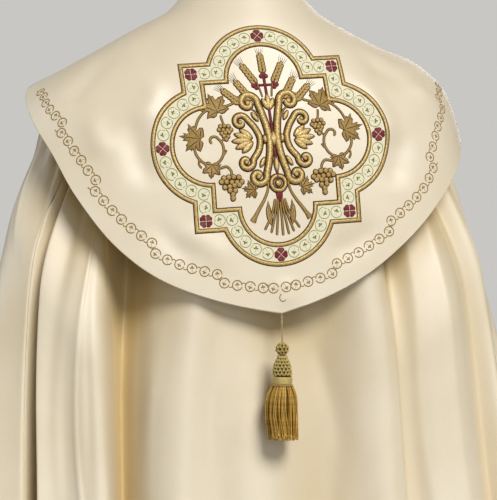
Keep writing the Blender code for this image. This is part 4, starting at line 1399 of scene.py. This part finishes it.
def red_cross(motifs):
    """A slender crimson cross with trefoil ends, which stands behind the ornament."""
    bud = circle(14)
    shaft = smooth_path(((0, 79), (0, 40), (0, 0), (0, -60)))
    motifs.band("crimson", shaft, 3.3 * MM, 1.0 * MM, outline=0.35 * MM)
    arm = smooth_path(((-9, 69), (0, 69), (9, 69)))
    motifs.band("crimson", arm, 3.0 * MM, 1.1 * MM, outline=0.35 * MM)
    for centre, outwards in (((0, 80), 90), ((11, 69), 0), ((-11, 69), 180)):
        for turn, radius in ((0, 3.1), (90, 2.7), (-90, 2.7)):
            at = np.array(centre) + turned((2.9, 0), math.radians(outwards + turn))
            motifs.pad("crimson", (bud * radius + at) * MM, 1.3 * MM, rim=0.35 * MM)
    foot = np.array(((-4.4, -60), (0, -58.5), (4.4, -60), (3.6, -66), (1.8, -70), (0, -73), (-1.8, -70),
                     (-3.6, -66)))
    motifs.pad("crimson", foot * MM, 1.3 * MM, rim=0.4 * MM, centre=np.array((0, -64)) * MM)


def gold_scroll(motifs, path, wide, narrow, height):
    """A padded gold scroll with a dark edge, widest in the middle of its path."""
    share = np.linspace(0, 1, len(path))
    swell = np.sin(math.pi * share) ** 0.6
    widths = (narrow + (wide - narrow) * swell) * MM
    motifs.threads["outline"].band(path, widths + 2.6 * MM, 0.9 * MM)
    motifs.threads["gold"].band(path, widths, height * MM * (0.6 + 0.4 * swell))


def bead(centre, wide, long=None, turn=0.0):
    """The outline of a round or oval bead, in metres. long is its length along turn, in degrees."""
    oval = circle(16) * ((long or wide) / 2, wide / 2)
    return (turned(oval, math.radians(turn)) + np.asarray(centre, float)) * MM


def scroll_pair(motifs):
    """One side of the centrepiece: a tall scroll bowed to the axis, a smaller one by it, and a palmette."""
    tall = np.concatenate([
        spiral((25, 48), 2.6, 11.8, -200, 175),
        smooth_path(((13.2, 47), (9.6, 33), (6.4, 18), (4.9, 3), (5.8, -10), (8.8, -24), (12.6, -37)))[1:-1],
        spiral((23, -40), 10.6, 2.6, 163, 540),
    ])
    gold_scroll(motifs, tall, 8.2, 4.4, 3.6)
    small = np.concatenate([
        spiral((37.5, 25.5), 2.4, 9.4, -190, 160),
        smooth_path(((28.7, 28.7), (20.5, 17), (16.4, 4), (19.2, -9), (27.4, -20)))[1:-1],
        spiral((36, -22.5), 9.0, 2.4, 163, 530),
    ])
    gold_scroll(motifs, small, 6.8, 3.8, 3.0)
    for turn, reach in ((40, 0.78), (-40, 0.78), (20, 0.92), (-20, 0.92), (0, 1.0)):
        petal = ellipse(24 * reach, 7.4, 20) + np.array((16.0 * reach, 0))
        outline = (turned(petal, math.radians(turn)) + np.array((23, 3))) * MM
        motifs.pad("gold", outline, 2.3 * MM, rim=0.9 * MM, grain=math.radians(turn))
    for centre, turn in (((19.0, 31), 58), ((16.5, -23.5), -60)):
        motifs.pad("gold", bead(centre, 5.0, 13.0, turn), 2.6 * MM, rim=0.9 * MM, grain=math.radians(turn))
    for centre, size in (((25, 48), 6.0), ((23, -40), 5.6), ((37.5, 25.5), 4.8), ((36, -22.5), 4.8)):
        motifs.pad("gold", bead(centre, size), 3.0 * MM, rim=0.8 * MM)
    motifs.pad("gold", bead((10.6, 3.5), 5.0, 10.0, 90), 4.2 * MM, rim=1.0 * MM, grain=math.pi / 2)


def centre_boss(motifs):
    """A diamond boss where the scrolls meet, a bud above it, and a ring with a ball below."""
    for turn, reach in ((26, 0.8), (-26, 0.8), (0, 1.0)):
        petal = ellipse(19 * reach, 6.4, 20) + np.array((10.5 * reach, 0))
        outline = (turned(petal, math.radians(90 + turn)) + np.array((0, 38))) * MM
        motifs.pad("gold", outline, 2.4 * MM, rim=0.9 * MM, grain=math.radians(90 + turn))
    diamond = np.array(((0, 13.5), (5.6, 3.5), (0, -6.5), (-5.6, 3.5)))
    corners = np.concatenate([diamond, diamond[:1]])
    outline = np.concatenate([near + (far - near) * np.linspace(0, 1, 6)[:-1, None]
                              for near, far in zip(corners, corners[1:])])[::-1] * MM
    motifs.pad("gold", outline, 4.6 * MM, rim=1.2 * MM, centre=np.array((0, 3.5)) * MM, grain=math.pi / 4)
    motifs.pad("gold", bead((0, -27), 6.0, 17.0, 90), 2.8 * MM, rim=0.9 * MM, grain=math.pi / 2)
    gold_scroll(motifs, spiral((0, -49), 8.6, 8.6, 90, 450), 4.6, 4.4, 3.0)
    motifs.pad("gold", bead((0, -49), 7.6), 3.2 * MM, rim=1.0 * MM)


def vine_side(motifs):
    """One side's vine, leaves, grapes and wheat, right of the axis."""
    motifs.ear((10.5, 70.5), (30, 105))
    motifs.ear((19.5, 51), (42, 85))
    motifs.ear((34.5, 48), (60.5, 72.5))
    motifs.vine(((12, 76), (8, 66), (5.5, 54)), 1.5)
    motifs.vine(((22, 56), (15, 46), (9, 34)), 1.5)
    motifs.vine(((39, 52), (28, 44), (18, 38), (12, 28)), 1.6)
    motifs.blade((13, 38), (17, 57), 3.6, 1.8)
    motifs.blade((24, 47), (29, 60), 3.0, -1.6)
    motifs.vine(((22, 46), (29, 54.5), (37, 55.5), (43, 49), (50, 46.5), (58, 45)), 2.3)
    motifs.vine(((68, 42), (76, 42), (82, 38), (88, 31), (93, 20)), 2.1)
    motifs.vine(((78, 41), (83, 44), (85, 49)), 1.8)
    motifs.vine(((97, 2), (95, -10), (88, -19), (78, -23), (68, -19), (62, -9), (62.5, 1), (68, 9)), 2.3,
                ((73, 4.5), 6.6, 2.2, 138, -60))
    motifs.vine(((64, 3), (59, 8), (55, 14)), 1.7)
    motifs.vine(((62, -12), (58, -6)), 1.5)
    motifs.vine(((77, -24), (69, -27), (60, -26), (55.5, -31), (56, -40)), 2.2)
    motifs.vine(((92, -15), (93, -21), (90, -26)), 1.6)
    motifs.vine(((60, 36), (59, 29), (57.5, 23)), 1.8)
    motifs.leaf((64, 43), 21.0, 70)
    motifs.leaf((92, 9), 21.0, 12)
    motifs.leaf((78, -25), 14.5, -80)
    motifs.grapes((57, 24), 2.4, (3, 4, 3, 2, 1))
    motifs.grapes((56, -36), 3.05, (4, 5, 4, 2, 1, 1))
    motifs.leaf((31, -55), 13.5, 12)
    trunk = smooth_path(((12, -47), (13.5, -56), (18, -66), (26, -78), (35, -92)))
    share = np.linspace(0, 1, len(trunk))
    motifs.band("leaf", trunk, (2.6 + 2.6 * share**2 + 2.2 * ease(share, 0.85, 1.0)) * MM, 1.3 * MM,
                outline=0.5 * MM, ends="flat")
    motifs.blade((12.5, -100), (14.5, -68), 6.2, -1.2)
    for foot, top in (((21.5, -103), 5.6), ((14, -107), 4.0), ((7.5, -110), 2.2)):
        middle = (foot[0] * 0.42 + top * 0.3, -84)
        motifs.vine(((top, -67), middle, foot), 2.0)


def add_medallion_centre():
    """Wheat, vine and grapes round a crimson cross and a padded gold ornament of scrolls."""
    motifs = Motifs(("outline", "crimson", "leaf", "wheat", "gold"))
    motifs.side(1)
    red_cross(motifs)
    motifs.vine(((0, -68), (0.4, -90), (0.2, -111)), 2.2)
    motifs.ear((0, 84), (0, 117.5))
    for mirror in (1, -1):
        motifs.side(mirror)
        vine_side(motifs)
        scroll_pair(motifs)
    motifs.side(1)
    centre_boss(motifs)
    slots = {"outline": "olive_gold_thread", "crimson": "crimson_thread"}
    made = motifs.make("medallion_centre_", slots)
    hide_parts("medallion_cross")


# ---------------------------------------------------------------- the hood's border

BORDER_PITCH = 0.0145
BORDER_INSET = 0.0265
BORDER_CORNER_INSETS = {1: 0.044, -1: 0.0}
BORDER_STEP = 0.0046
BORDER_GROUP = 6.5
BORDER_OVERLAP = 0.30
BORDER_RING = 6.0
BORDER_END = 0.965


def border_path(way, count=260):
    """Half of a line that keeps its distance from the hood's edge, from above the tip out to one corner."""
    across = np.linspace(0, BORDER_END, count) * way
    line = np.stack(DESIGN.flat(*hood_edge(across)), axis=-1)
    tip = line[0, 0]
    inwards = np.array([DESIGN.local(point, tangent * way)[:, 1]
                        for point, tangent in zip(line, unit(np.gradient(line, axis=0)))])
    inset = BORDER_INSET + BORDER_CORNER_INSETS[way] * ease(np.abs(across), 0.60, 1.0)
    line = line + inwards * inset[:, None]
    return line[(line[:, 0] - tip) * way > 0]


def add_border():
    """A chain of scrolled circles along the hood's edge, each with a sprig, stepping in and out."""
    line, leaves = Stitches(), Stitches()
    for way in (1, -1):
        path = border_path(way)
        laid = DESIGN.lay(path, 0.0)
        along = distances(laid)
        for number in range(int((along[-1] - 0.004) / BORDER_PITCH)):
            group = ((number + 2) / BORDER_GROUP) % 1.0
            at = BORDER_PITCH * (number + 0.5 - BORDER_OVERLAP * (1 - group) * (number > 0))
            centre, ahead = point_at(path, along, at), point_at(path, along, at + 2 * MM)
            axes = DESIGN.local(centre, unit(ahead - centre)) @ np.diag((1, way))
            drift = group * 2 - 1
            shifted = centre + axes @ np.array((0.0, -drift * BORDER_STEP))
            slope = math.atan2(-2 * BORDER_STEP / BORDER_GROUP, BORDER_PITCH)
            over = 1 if number % 2 else -1
            for stitches in (line, leaves):
                stitches.put(shifted, axes @ turned(np.eye(2), slope).T @ np.diag((1, over)))
            line.line(spiral((0, 0), BORDER_RING, BORDER_RING * 0.9, 190, 535), 1.45 * MM, 0.5 * MM)
            line.line(spiral((BORDER_RING + 1.2, -0.6), 1.6, 3.6, 180, 320), 1.3 * MM, 0.45 * MM)
            sprig(leaves, BORDER_RING * 0.8, 75, 2.5)
        if way == 1:
            line.put(path[0], np.eye(2))
            line.line(spiral((3.0, -9.5), 6.0, 2.2, 110, 330), 1.2 * MM, 0.5 * MM)
    line.make("hood_border_scrolls", "vine", "olive_gold_thread")
    leaves.make("hood_border_sprigs", "leaf", "olive_gold_thread")


# ---------------------------------------------------------------- tassel

CORD = 0.0024
CORD_SIDES = 20
CORD_RINGS = 150
CORD_LAY = 0.0075
CORD_INTO_KNOT = 0.006
FRINGE_STRANDS = 190
FRINGE_LOOP = 0.0015


class Tubes:
    """Round threads in space, gathered into one piece. Each thread keeps its own length for its stitches."""

    def __init__(self):
        self.points, self.faces, self.flats, self.glints = [], [], [], []
        self.count = 0

    def add(self, path, radius, sides, glint=1.0):
        """A tube along a path, with one radius or one for each point. glint is how pale it is."""
        path = np.asarray(path, float)
        count = len(path)
        tangent = unit(np.gradient(path, axis=0))
        side = np.cross(tangent[0], (0.31, 0.87, 0.38))
        frames = []
        for direction in tangent:
            side = unit(side - direction * np.dot(side, direction))
            frames.append((side, np.cross(direction, side)))
        frames = np.array(frames)
        angle = np.linspace(0, 2 * math.pi, sides, endpoint=False)
        ring = np.cos(angle)[:, None, None] * frames[None, :, 0]
        ring = ring + np.sin(angle)[:, None, None] * frames[None, :, 1]
        reach = np.broadcast_to(np.asarray(radius, float), (count,))
        points = path[:, None] + ring.transpose(1, 0, 2) * reach[:, None, None]
        around_thread = angle[None, :] * reach.mean()
        flats = np.stack(np.broadcast_arrays(distances(path)[:, None], around_thread), axis=-1)
        faces = grid_faces(count, sides, ring=True, flip=True).tolist() + end_faces(count, sides)
        self.points.append(points.reshape(-1, 3))
        self.flats.append(flats.reshape(-1, 2))
        self.glints.append(np.full(count * sides, glint))
        self.faces += [[corner + self.count for corner in face] for face in faces]
        self.count += count * sides

    def make(self, name, finish, slot):
        made = add_object(name, np.concatenate(self.points), self.faces, finish_of(finish),
                          np.concatenate(self.flats), "thread")
        keep_values(made, RISE_LAYER, np.concatenate(self.glints))
        return made


def node_box(name):
    """The middle of a CAD node's top, its half width and its height."""
    low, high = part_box(name)
    top = np.array(((low.x + high.x) / 2, (low.y + high.y) / 2, high.z))
    return top, (high.x - low.x) / 2, high.z - low.z


def around(centre, radius, turn, depth):
    """Points round an upright axis: radius and turn about it, and depth below its top."""
    x, y = centre[0] + radius * np.cos(turn), centre[1] + radius * np.sin(turn)
    return np.stack(np.broadcast_arrays(x, y, centre[2] - depth), axis=-1)


def cord_route():
    """The cord's centre line: it swings out from the hood's tip, hangs plumb, and ends inside the knot."""
    low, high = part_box("tassel_cord")
    knot = node_box("tassel_knot")[0][:2]
    tip = HOOD_EDGE[0]
    start = hood_point(np.array(0.0), np.array(1.0))
    start = start - body_outward(np.radians(tip.left_angle), np.array(tip.left_fall)) * HOOD_CLOTH / 2
    share = np.linspace(0, 1, CORD_RINGS)
    drop = high.z - low.z
    level = start[:2] + (knot - start[:2]) * ease(share, 0, 1)[:, None]
    route = np.column_stack([level, high.z - drop * share])
    rest = np.linspace(0, -CORD_INTO_KNOT, 24)[1:]
    tail = np.column_stack([np.full(len(rest), knot[0]), np.full(len(rest), knot[1]), low.z + rest])
    return np.concatenate([route, tail])


def add_tassel_cord():
    """A two-strand twisted cord from the hood's tip into the tassel's knot."""
    route = cord_route()
    along = distances(route)
    angle = np.linspace(0, 2 * math.pi, CORD_SIDES, endpoint=False)
    turn = along[:, None] / CORD_LAY * 2 * math.pi
    reach = CORD / 2 * (0.66 + 0.34 * np.abs(np.cos(angle[None, :] - turn)) ** 0.8)
    loose = 1 - 0.22 * ease(along, 0.010, 0.024)[:, None]
    ring = np.stack([np.cos(angle) * reach * loose, np.sin(angle) * reach * loose, 0 * reach], axis=-1)
    points = route[:, None, :] + ring
    flats = np.stack(np.broadcast_arrays(along[:, None], angle[None, :] * CORD / 2), axis=-1)
    faces = grid_faces(len(route), CORD_SIDES, ring=True).tolist()
    faces += end_faces(len(route), CORD_SIDES, flip=True)
    piece = add_object("tassel_twisted_cord", points.reshape(-1, 3), faces, finish_of("cord"),
                       flats.reshape(-1, 2), "thread")
    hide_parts("tassel_cord")
    return piece, route, float(along[-1])


def crochet(name, centre, profile, rounds, stitches, thread):
    """A crocheted skin over a core whose dark colour is painted shadow between the stitches: rounds of
    pointed stitches that lean by turns.
    """
    profile = np.array(profile)
    run = distances(profile)
    sides = 24
    angle = np.linspace(0, 2 * math.pi, sides, endpoint=False)
    core = [around(centre, radius - thread * 1.2, angle, depth) for radius, depth in profile]
    faces = grid_faces(len(profile), sides, ring=True).tolist() + end_faces(len(profile), sides, flip=True)
    # The core's dark finish is painted shadow that shows between the stitches
    painted_shadow_core = add_object(name + "_core", np.concatenate(core), faces, finish_of("shadow"))
    tubes = Tubes()
    pitch = run[-1] / rounds
    share = np.linspace(0, 1, 7)
    for index in range(rounds):
        offset = 0.5 * (index % 2)
        wander = 0.06 * math.sin(5.1 * index)
        for stitch in range(stitches):
            middle = (stitch + offset + wander) / stitches * 2 * math.pi
            uneven = 1 + 0.12 * math.sin(9.7 * stitch + 4.3 * index)
            for way in (-1, 1):
                turn = middle + way * (0.08 + 0.40 * share) * 2 * math.pi / stitches
                along = np.clip(pitch * (index + 0.96 - 0.86 * share * uneven), 0, run[-1])
                lift = thread * (0.15 + 0.75 * np.sin(math.pi * share) ** 0.8) - thread * 0.55
                radius = np.interp(along, run, profile[:, 0]) + lift
                path = around(centre, radius, turn, np.interp(along, run, profile[:, 1]))
                tubes.add(path, thread * (0.55 + 0.45 * np.sin(math.pi * share) ** 0.5), 5)
    piece = tubes.make(name + "_stitches", "crochet", "gold_thread")
    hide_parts(name)
    return [painted_shadow_core, piece]


def add_collar(centre, wide, tall):
    """Thread wound round the neck of the tassel, with a row of small scallops below."""
    tubes = Tubes()
    turns = 9
    angle = np.linspace(0, 2 * math.pi * turns, turns * 32)
    share = np.linspace(0, 1, len(angle))
    belly = 0.955 + 0.045 * np.sin(math.pi * share)
    tubes.add(around(centre, (wide - 0.0009) * belly, angle, 0.0007 + (tall - 0.0030) * share), 0.00068, 6)
    count = 17
    for scallop in range(count):
        middle = scallop / count * 2 * math.pi
        turn = middle + np.linspace(-0.5, 0.5, 9) * 2 * math.pi / count
        sag = np.cos(np.linspace(-0.5, 0.5, 9) * math.pi) ** 0.7 * 0.0017
        tubes.add(around(centre, wide * 0.965, turn, tall - 0.0021 + sag), 0.0006, 5)
    piece = tubes.make("tassel_collar_wrapping", "collar", "gold_thread")
    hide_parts("tassel_collar")
    return piece


def add_fringe(centre, wide, tall):
    """Twisted gold strands hanging free below the collar, with looped ends of uneven length."""
    tubes = Tubes()
    random = np.random.default_rng(11)
    golden = math.pi * (3 - math.sqrt(5))
    share = np.linspace(0, 1, 15)
    for index in range(FRINGE_STRANDS):
        ring = math.sqrt((index + 0.5) / FRINGE_STRANDS)
        turn = index * golden + random.normal() * 0.07
        top = 0.66 * wide * ring
        middle = (0.985 if ring > 0.85 else 0.95) * wide * ring * (1 - 0.05 * random.random())
        end = (0.86 + 0.09 * random.random()) * wide * ring
        lean = -0.0030 if math.cos(turn) < 0.3 else 0.0008
        radius = smooth_between(share, (0.0, 0.14, 0.55, 1.0), (top, 0.3 * top + 0.68 * middle, middle, end))
        twist = turn + (random.normal() * 0.16 + 0.02) * share
        length = (tall - 0.0012) * (1 - 0.075 * random.random() ** 1.3)
        x = centre[0] + radius * np.cos(twist) + lean * np.sin(math.pi * np.clip(share, 0, 0.8))
        x = x + 0.0010 * np.sin(share * 5.2 + index) * share * (1 - ring * 0.6) + 0.0018 * share**2
        y = centre[1] + radius * np.sin(twist)
        y = y + 0.0006 * np.cos(share * 4.7 + index * 1.7) * share * (1 - ring * 0.7)
        z = centre[2] + 0.0012 - length * share
        width = 0.00075 * (1 + 0.18 * np.sin(share * 80 + index))
        glint = 0.35 + 0.6 * random.random()
        tubes.add(np.column_stack([x, y, z]), width, 5, glint=glint)
        if ring > 0.55 or index % 2 == 0:
            loop = np.linspace(-0.3 * math.pi, 1.3 * math.pi, 9)
            facing = twist[-1] + math.pi / 2 + random.normal() * 0.5
            depth = FRINGE_LOOP * (0.8 - 0.9 * np.sin(loop))
            path = around((x[-1], y[-1], z[-1]), FRINGE_LOOP * np.cos(loop), facing, depth)
            tubes.add(path, 0.00058, 5, glint=glint)
    piece = tubes.make("tassel_fringe_strands", "fringe", "gold_thread")
    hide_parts("tassel_fringe")


def add_tassel():
    """Twisted cord, crocheted knot and head, wound collar and hanging fringe."""
    cord, route, length = add_tassel_cord()
    top, half, _ = node_box("tassel_knot")
    turns = np.linspace(0.25, 2.85, 13)
    profile = [(max(half * math.sin(turn), 0.0012), half * 0.985 * (1 - math.cos(turn))) for turn in turns]
    pieces = crochet("tassel_knot", top, np.array(profile) - (0, profile[0][1]), 4, 9, 0.00085)
    top, half, tall = node_box("tassel_head")
    shares = ((0.45, 0.0), (0.50, 0.10), (0.66, 0.26), (0.84, 0.44), (0.95, 0.64), (0.99, 0.82), (0.98, 1.0))
    profile = [((half - 0.0004) * wide, tall * depth) for wide, depth in shares]
    pieces += crochet("tassel_head", top, profile, 6, 14, 0.00092)
    pieces.append(add_collar(*node_box("tassel_collar")))
    add_fringe(*node_box("tassel_fringe"))


# ---------------------------------------------------------------- neck binding and morse

MORSE_HALF_ANGLE = 17
MORSE_FALLS = (0.135, 0.205)
MORSE_CLOTH = 0.003
BAND_HEIGHT = 0.016
BAND_FACES = (-0.002, 0.0036)
BAND_ABOVE = 0.0005


def add_neck_band():
    """A narrow rolled binding standing on the neck edge, with a line of stitches along its foot."""
    end = math.radians(FOLDS[-1].shoulder)
    angle = np.linspace(-end, end, 241)
    rim = body_point(angle, np.zeros_like(angle))
    level = unit(body_outward(angle, np.zeros_like(angle)) * (1, 1, 0))
    middle, half = sum(BAND_FACES) / 2, (BAND_FACES[1] - BAND_FACES[0]) / 2
    section = []
    for turn in np.linspace(-0.3 * math.pi, 1.3 * math.pi, 27):
        aside = half * math.copysign(abs(math.cos(turn)) ** 0.42, math.cos(turn))
        rise = BAND_ABOVE + BAND_HEIGHT / 2 * (1 + math.copysign(abs(math.sin(turn)) ** 0.30, math.sin(turn)))
        section.append((middle + aside, rise))
    rows = []
    for aside, rise in section:
        sewn = math.exp(-(((rise - BAND_ABOVE - 0.0035) / 0.0011) ** 2))
        pucker = 0.00018 * np.sin(angle * 190) + 0.0001 * np.sin(angle * 67)
        reach = aside - np.sign(aside - middle) * (sewn * 0.0006 + pucker * (0.4 + sewn))
        rows.append(rim + level * np.asarray(reach)[:, None] + np.array((0, 0, rise)))
    points = np.array(rows).transpose(1, 0, 2)
    count, sides = points.shape[:2]
    faces = grid_faces(count, sides).tolist() + end_faces(count, sides)
    flats = cloth_places(points).reshape(-1, 2)
    piece = add_object("neck_binding", points.reshape(-1, 3), faces, finish_of("satin"), flats)
    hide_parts("neck_band")


def add_morse():
    """The plain tab across the chest, hemmed all round, which holds the two fronts together."""
    half = math.radians(MORSE_HALF_ANGLE)
    across = np.linspace(-1, 1, 81)[None, :]
    share = np.linspace(0, 1, 41)[:, None]
    angle, fall = np.broadcast_arrays(math.pi + half * across,
                                      MORSE_FALLS[0] + (MORSE_FALLS[1] - MORSE_FALLS[0]) * share)
    inner = body_point(angle, fall)
    normal = body_outward(angle, fall)
    width = np.linalg.norm(inner[0, 0] - inner[0, -1])
    middle = across.size // 2
    tall = np.linalg.norm(inner[0, middle] - inner[-1, middle])
    rim = np.minimum((1 - np.abs(across)) * width / 2, np.minimum(share, 1 - share) * tall)
    rounded = np.sqrt(np.clip(1 - (1 - np.clip(rim / 0.0018, 0, 1)) ** 2, 0, 1))
    sewn = np.exp(-(((rim - 0.0065) / 0.0009) ** 2)) * (0.75 + 0.25 * np.sin((across + share) * 160))
    height = 0.0012 + (MORSE_CLOTH - 0.0010) * (0.30 + 0.70 * rounded) - 0.0006 * sewn
    height += 0.0003 * np.sin(across * 5 + share * 3)
    outer = inner + normal * height[..., None]
    points, faces, flats = closed_cloth(outer, inner + normal * 0.0008, 11)
    piece = add_object("morse_cloth", points, faces, finish_of("satin"), flats)
    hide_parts("morse")


# ---------------------------------------------------------------- settings, operators and panel


def count_setting(name, description, default, low, high):
    return bpy.props.IntProperty(name=name, description=description, default=default, min=low, max=high)


def colour_setting(name, description, default):
    return bpy.props.FloatVectorProperty(name=name, description=description, default=default, subtype="COLOR",
                                         size=3, min=0.0, max=1.0)


def length_setting(name, description, default):
    return bpy.props.FloatProperty(name=name, description=description, default=default, unit="LENGTH")


def angle_setting(name, description, degrees):
    return bpy.props.FloatProperty(name=name, description=description, default=math.radians(degrees),
                                   subtype="ANGLE")


def power_setting(name, description, default):
    return bpy.props.FloatProperty(name=name, description=description, default=default, min=0.0)


class ClothSettings(bpy.types.PropertyGroup):
    columns_per_fold: count_setting("Columns per fold", "Columns of cloth between two fold lines", 14, 4, 20)
    mantle_rows: count_setting("Mantle rows", "Rows of cloth from the neck to the hem", 210, 60, 300)
    hood_columns: count_setting("Hood columns", "Columns of cloth across the hood", 240, 60, 320)
    hood_rows: count_setting("Hood rows", "Rows of cloth from the neck to the hood's edge", 130, 40, 200)


class ColourSettings(bpy.types.PropertyGroup):
    satin: colour_setting("Satin", "Ivory of the satin's floats", (0.80, 0.715, 0.56))
    satin_deep: colour_setting("Satin shade", "Deeper ivory between the floats", (0.69, 0.58, 0.39))
    # Painted shade: the golden colour the satin takes down in its folds and under the hood's edge
    satin_painted_shade: colour_setting("Satin hollow", "Golden ivory down in the folds", (0.55, 0.40, 0.17))
    # Gold thread and its darker colour, which is painted shade between stitches and towards the edges of gold
    # shapes
    gold: colour_setting("Gold", "Lit gold thread", (0.84, 0.67, 0.30))
    gold_shade: colour_setting("Gold shade", "Gold thread between stitches", (0.29, 0.14, 0.018))


class StageSettings(bpy.types.PropertyGroup):
    camera_turn: angle_setting("Camera turn", "Turn from straight behind, towards the wearer's left", 8.5)
    camera_distance: length_setting("Camera distance", "Distance from the garment's axis", 2.5)
    camera_aside: length_setting("Camera aside", "Distance of the camera's line from the axis", 0.008125)
    camera_height: length_setting("Camera height", "Height of the camera above the neck opening", -0.3375)
    lens: bpy.props.FloatProperty(name="Lens", description="Focal length in millimetres", default=96.0)
    hem_above_floor: length_setting("Hem above floor", "Room between the hem and the floor", 0.06)
    floor_radius: length_setting("Floor radius", "Radius of the floor", 4.5)
    floor_colour: colour_setting("Floor", "Pale studio paper", (0.62, 0.62, 0.61))
    paper_colour: colour_setting("Backdrop", "Pale paper seen behind the garment", (0.58, 0.57, 0.55))
    key_turn: angle_setting("Key turn", "Turn of the main light from the camera towards the right", 27)
    key_rise: angle_setting("Key rise", "Height of the main light as an angle", 42)
    key_width: angle_setting("Key width", "Width of the main light as an angle", 24)
    key_power: power_setting("Key power", "Strength of the main light", 2.95)
    key_colour: colour_setting("Key colour", "Colour of the main light", (1.0, 0.99, 0.97))
    front_turn: angle_setting("Front turn", "Turn of the front light from the camera towards the right", 8)
    front_rise: angle_setting("Front rise", "Height of the front light as an angle", 9)
    front_width: angle_setting("Front width", "Width of the front light as an angle", 30)
    front_power: power_setting("Front power", "Strength of the front light", 0.5)
    front_colour: colour_setting("Front colour", "Colour of the front light", (0.90, 0.96, 1.0))
    fill_turn: angle_setting("Fill turn", "Turn of the second light from the camera towards the right", -100)
    fill_rise: angle_setting("Fill rise", "Height of the second light as an angle", 22)
    fill_width: angle_setting("Fill width", "Width of the second light as an angle", 40)
    fill_power: power_setting("Fill power", "Strength of the second light", 0.9)
    fill_colour: colour_setting("Fill colour", "Colour of the second light", (0.93, 0.97, 1.0))
    far_turn: angle_setting("Far turn", "Turn of the far light from the camera towards the right", 168)
    far_rise: angle_setting("Far rise", "Height of the far light as an angle", 14)
    far_width: angle_setting("Far width", "Width of the far light as an angle", 30)
    far_power: power_setting("Far power", "Strength of the far light", 0.6)
    far_colour: colour_setting("Far colour", "Colour of the far light", (1.0, 0.98, 0.95))
    air_colour: colour_setting("Air colour", "Colour of the light from all round", (1.0, 0.60, 0.25))
    air_strength: power_setting("Air strength", "Strength of the light from all round", 0.035)


class COPE_OT_stage(bpy.types.Operator):
    """Makes the camera, the lights and the floor"""

    bl_idname = "cope.stage"
    bl_label = "Stage"

    def execute(self, context):
        add_stage()
        return {"FINISHED"}


class COPE_OT_tassel(bpy.types.Operator):
    """Makes the tassel and its cord"""

    bl_idname = "cope.tassel"
    bl_label = "Tassel"

    def execute(self, context):
        add_tassel()
        return {"FINISHED"}


class COPE_OT_mantle(bpy.types.Operator):
    """Makes the three panels of the mantle"""

    bl_idname = "cope.mantle"
    bl_label = "Mantle"

    def execute(self, context):
        add_mantle()
        return {"FINISHED"}


class COPE_OT_hood(bpy.types.Operator):
    """Makes the shield hood"""

    bl_idname = "cope.hood"
    bl_label = "Hood"

    def execute(self, context):
        add_hood()
        return {"FINISHED"}


class COPE_OT_medallion_frame(bpy.types.Operator):
    """Makes the gold lines and the band between them"""

    bl_idname = "cope.medallion_frame"
    bl_label = "Medallion frame"

    def execute(self, context):
        add_medallion_frame()
        return {"FINISHED"}


class COPE_OT_medallion_centre(bpy.types.Operator):
    """Makes the wheat, the vine and the gold ornament"""

    bl_idname = "cope.medallion_centre"
    bl_label = "Medallion centre"

    def execute(self, context):
        add_medallion_centre()
        return {"FINISHED"}


class COPE_OT_border(bpy.types.Operator):
    """Makes the scrolled border along the hood's edge"""

    bl_idname = "cope.border"
    bl_label = "Border"

    def execute(self, context):
        add_border()
        return {"FINISHED"}


class COPE_OT_neck_band(bpy.types.Operator):
    """Makes the binding of the neck edge"""

    bl_idname = "cope.neck_band"
    bl_label = "Neck binding"

    def execute(self, context):
        add_neck_band()
        return {"FINISHED"}


class COPE_OT_morse(bpy.types.Operator):
    """Makes the tab across the chest"""

    bl_idname = "cope.morse"
    bl_label = "Morse"

    def execute(self, context):
        add_morse()
        return {"FINISHED"}


OPERATORS = (COPE_OT_stage, COPE_OT_tassel, COPE_OT_mantle, COPE_OT_hood, COPE_OT_medallion_frame,
             COPE_OT_medallion_centre, COPE_OT_border, COPE_OT_neck_band, COPE_OT_morse)
SETTINGS = (("cope_cloth", ClothSettings), ("cope_colours", ColourSettings), ("cope_stage", StageSettings))


class COPE_PT_panel(bpy.types.Panel):
    bl_label = "Cope vestment"
    bl_space_type = "VIEW_3D"
    bl_region_type = "UI"
    bl_category = "Cope"

    def draw(self, context):
        for name, kind in SETTINGS:
            box = self.layout.box()
            for label in kind.__annotations__:
                box.prop(getattr(context.scene, name), label)
        for made in OPERATORS:
            self.layout.operator(made.bl_idname)


def register():
    for name, kind in SETTINGS:
        bpy.utils.register_class(kind)
        setattr(bpy.types.Scene, name, bpy.props.PointerProperty(type=kind))
    for kind in (*OPERATORS, COPE_PT_panel):
        bpy.utils.register_class(kind)


def unregister():
    for kind in reversed((*OPERATORS, COPE_PT_panel)):
        bpy.utils.unregister_class(kind)
    for name, kind in reversed(SETTINGS):
        delattr(bpy.types.Scene, name)
        bpy.utils.unregister_class(kind)


def main():
    register()
    for made in OPERATORS:
        area, action = made.bl_idname.split(".")
        getattr(getattr(bpy.ops, area), action)()


if __name__ == "__main__":
    main()
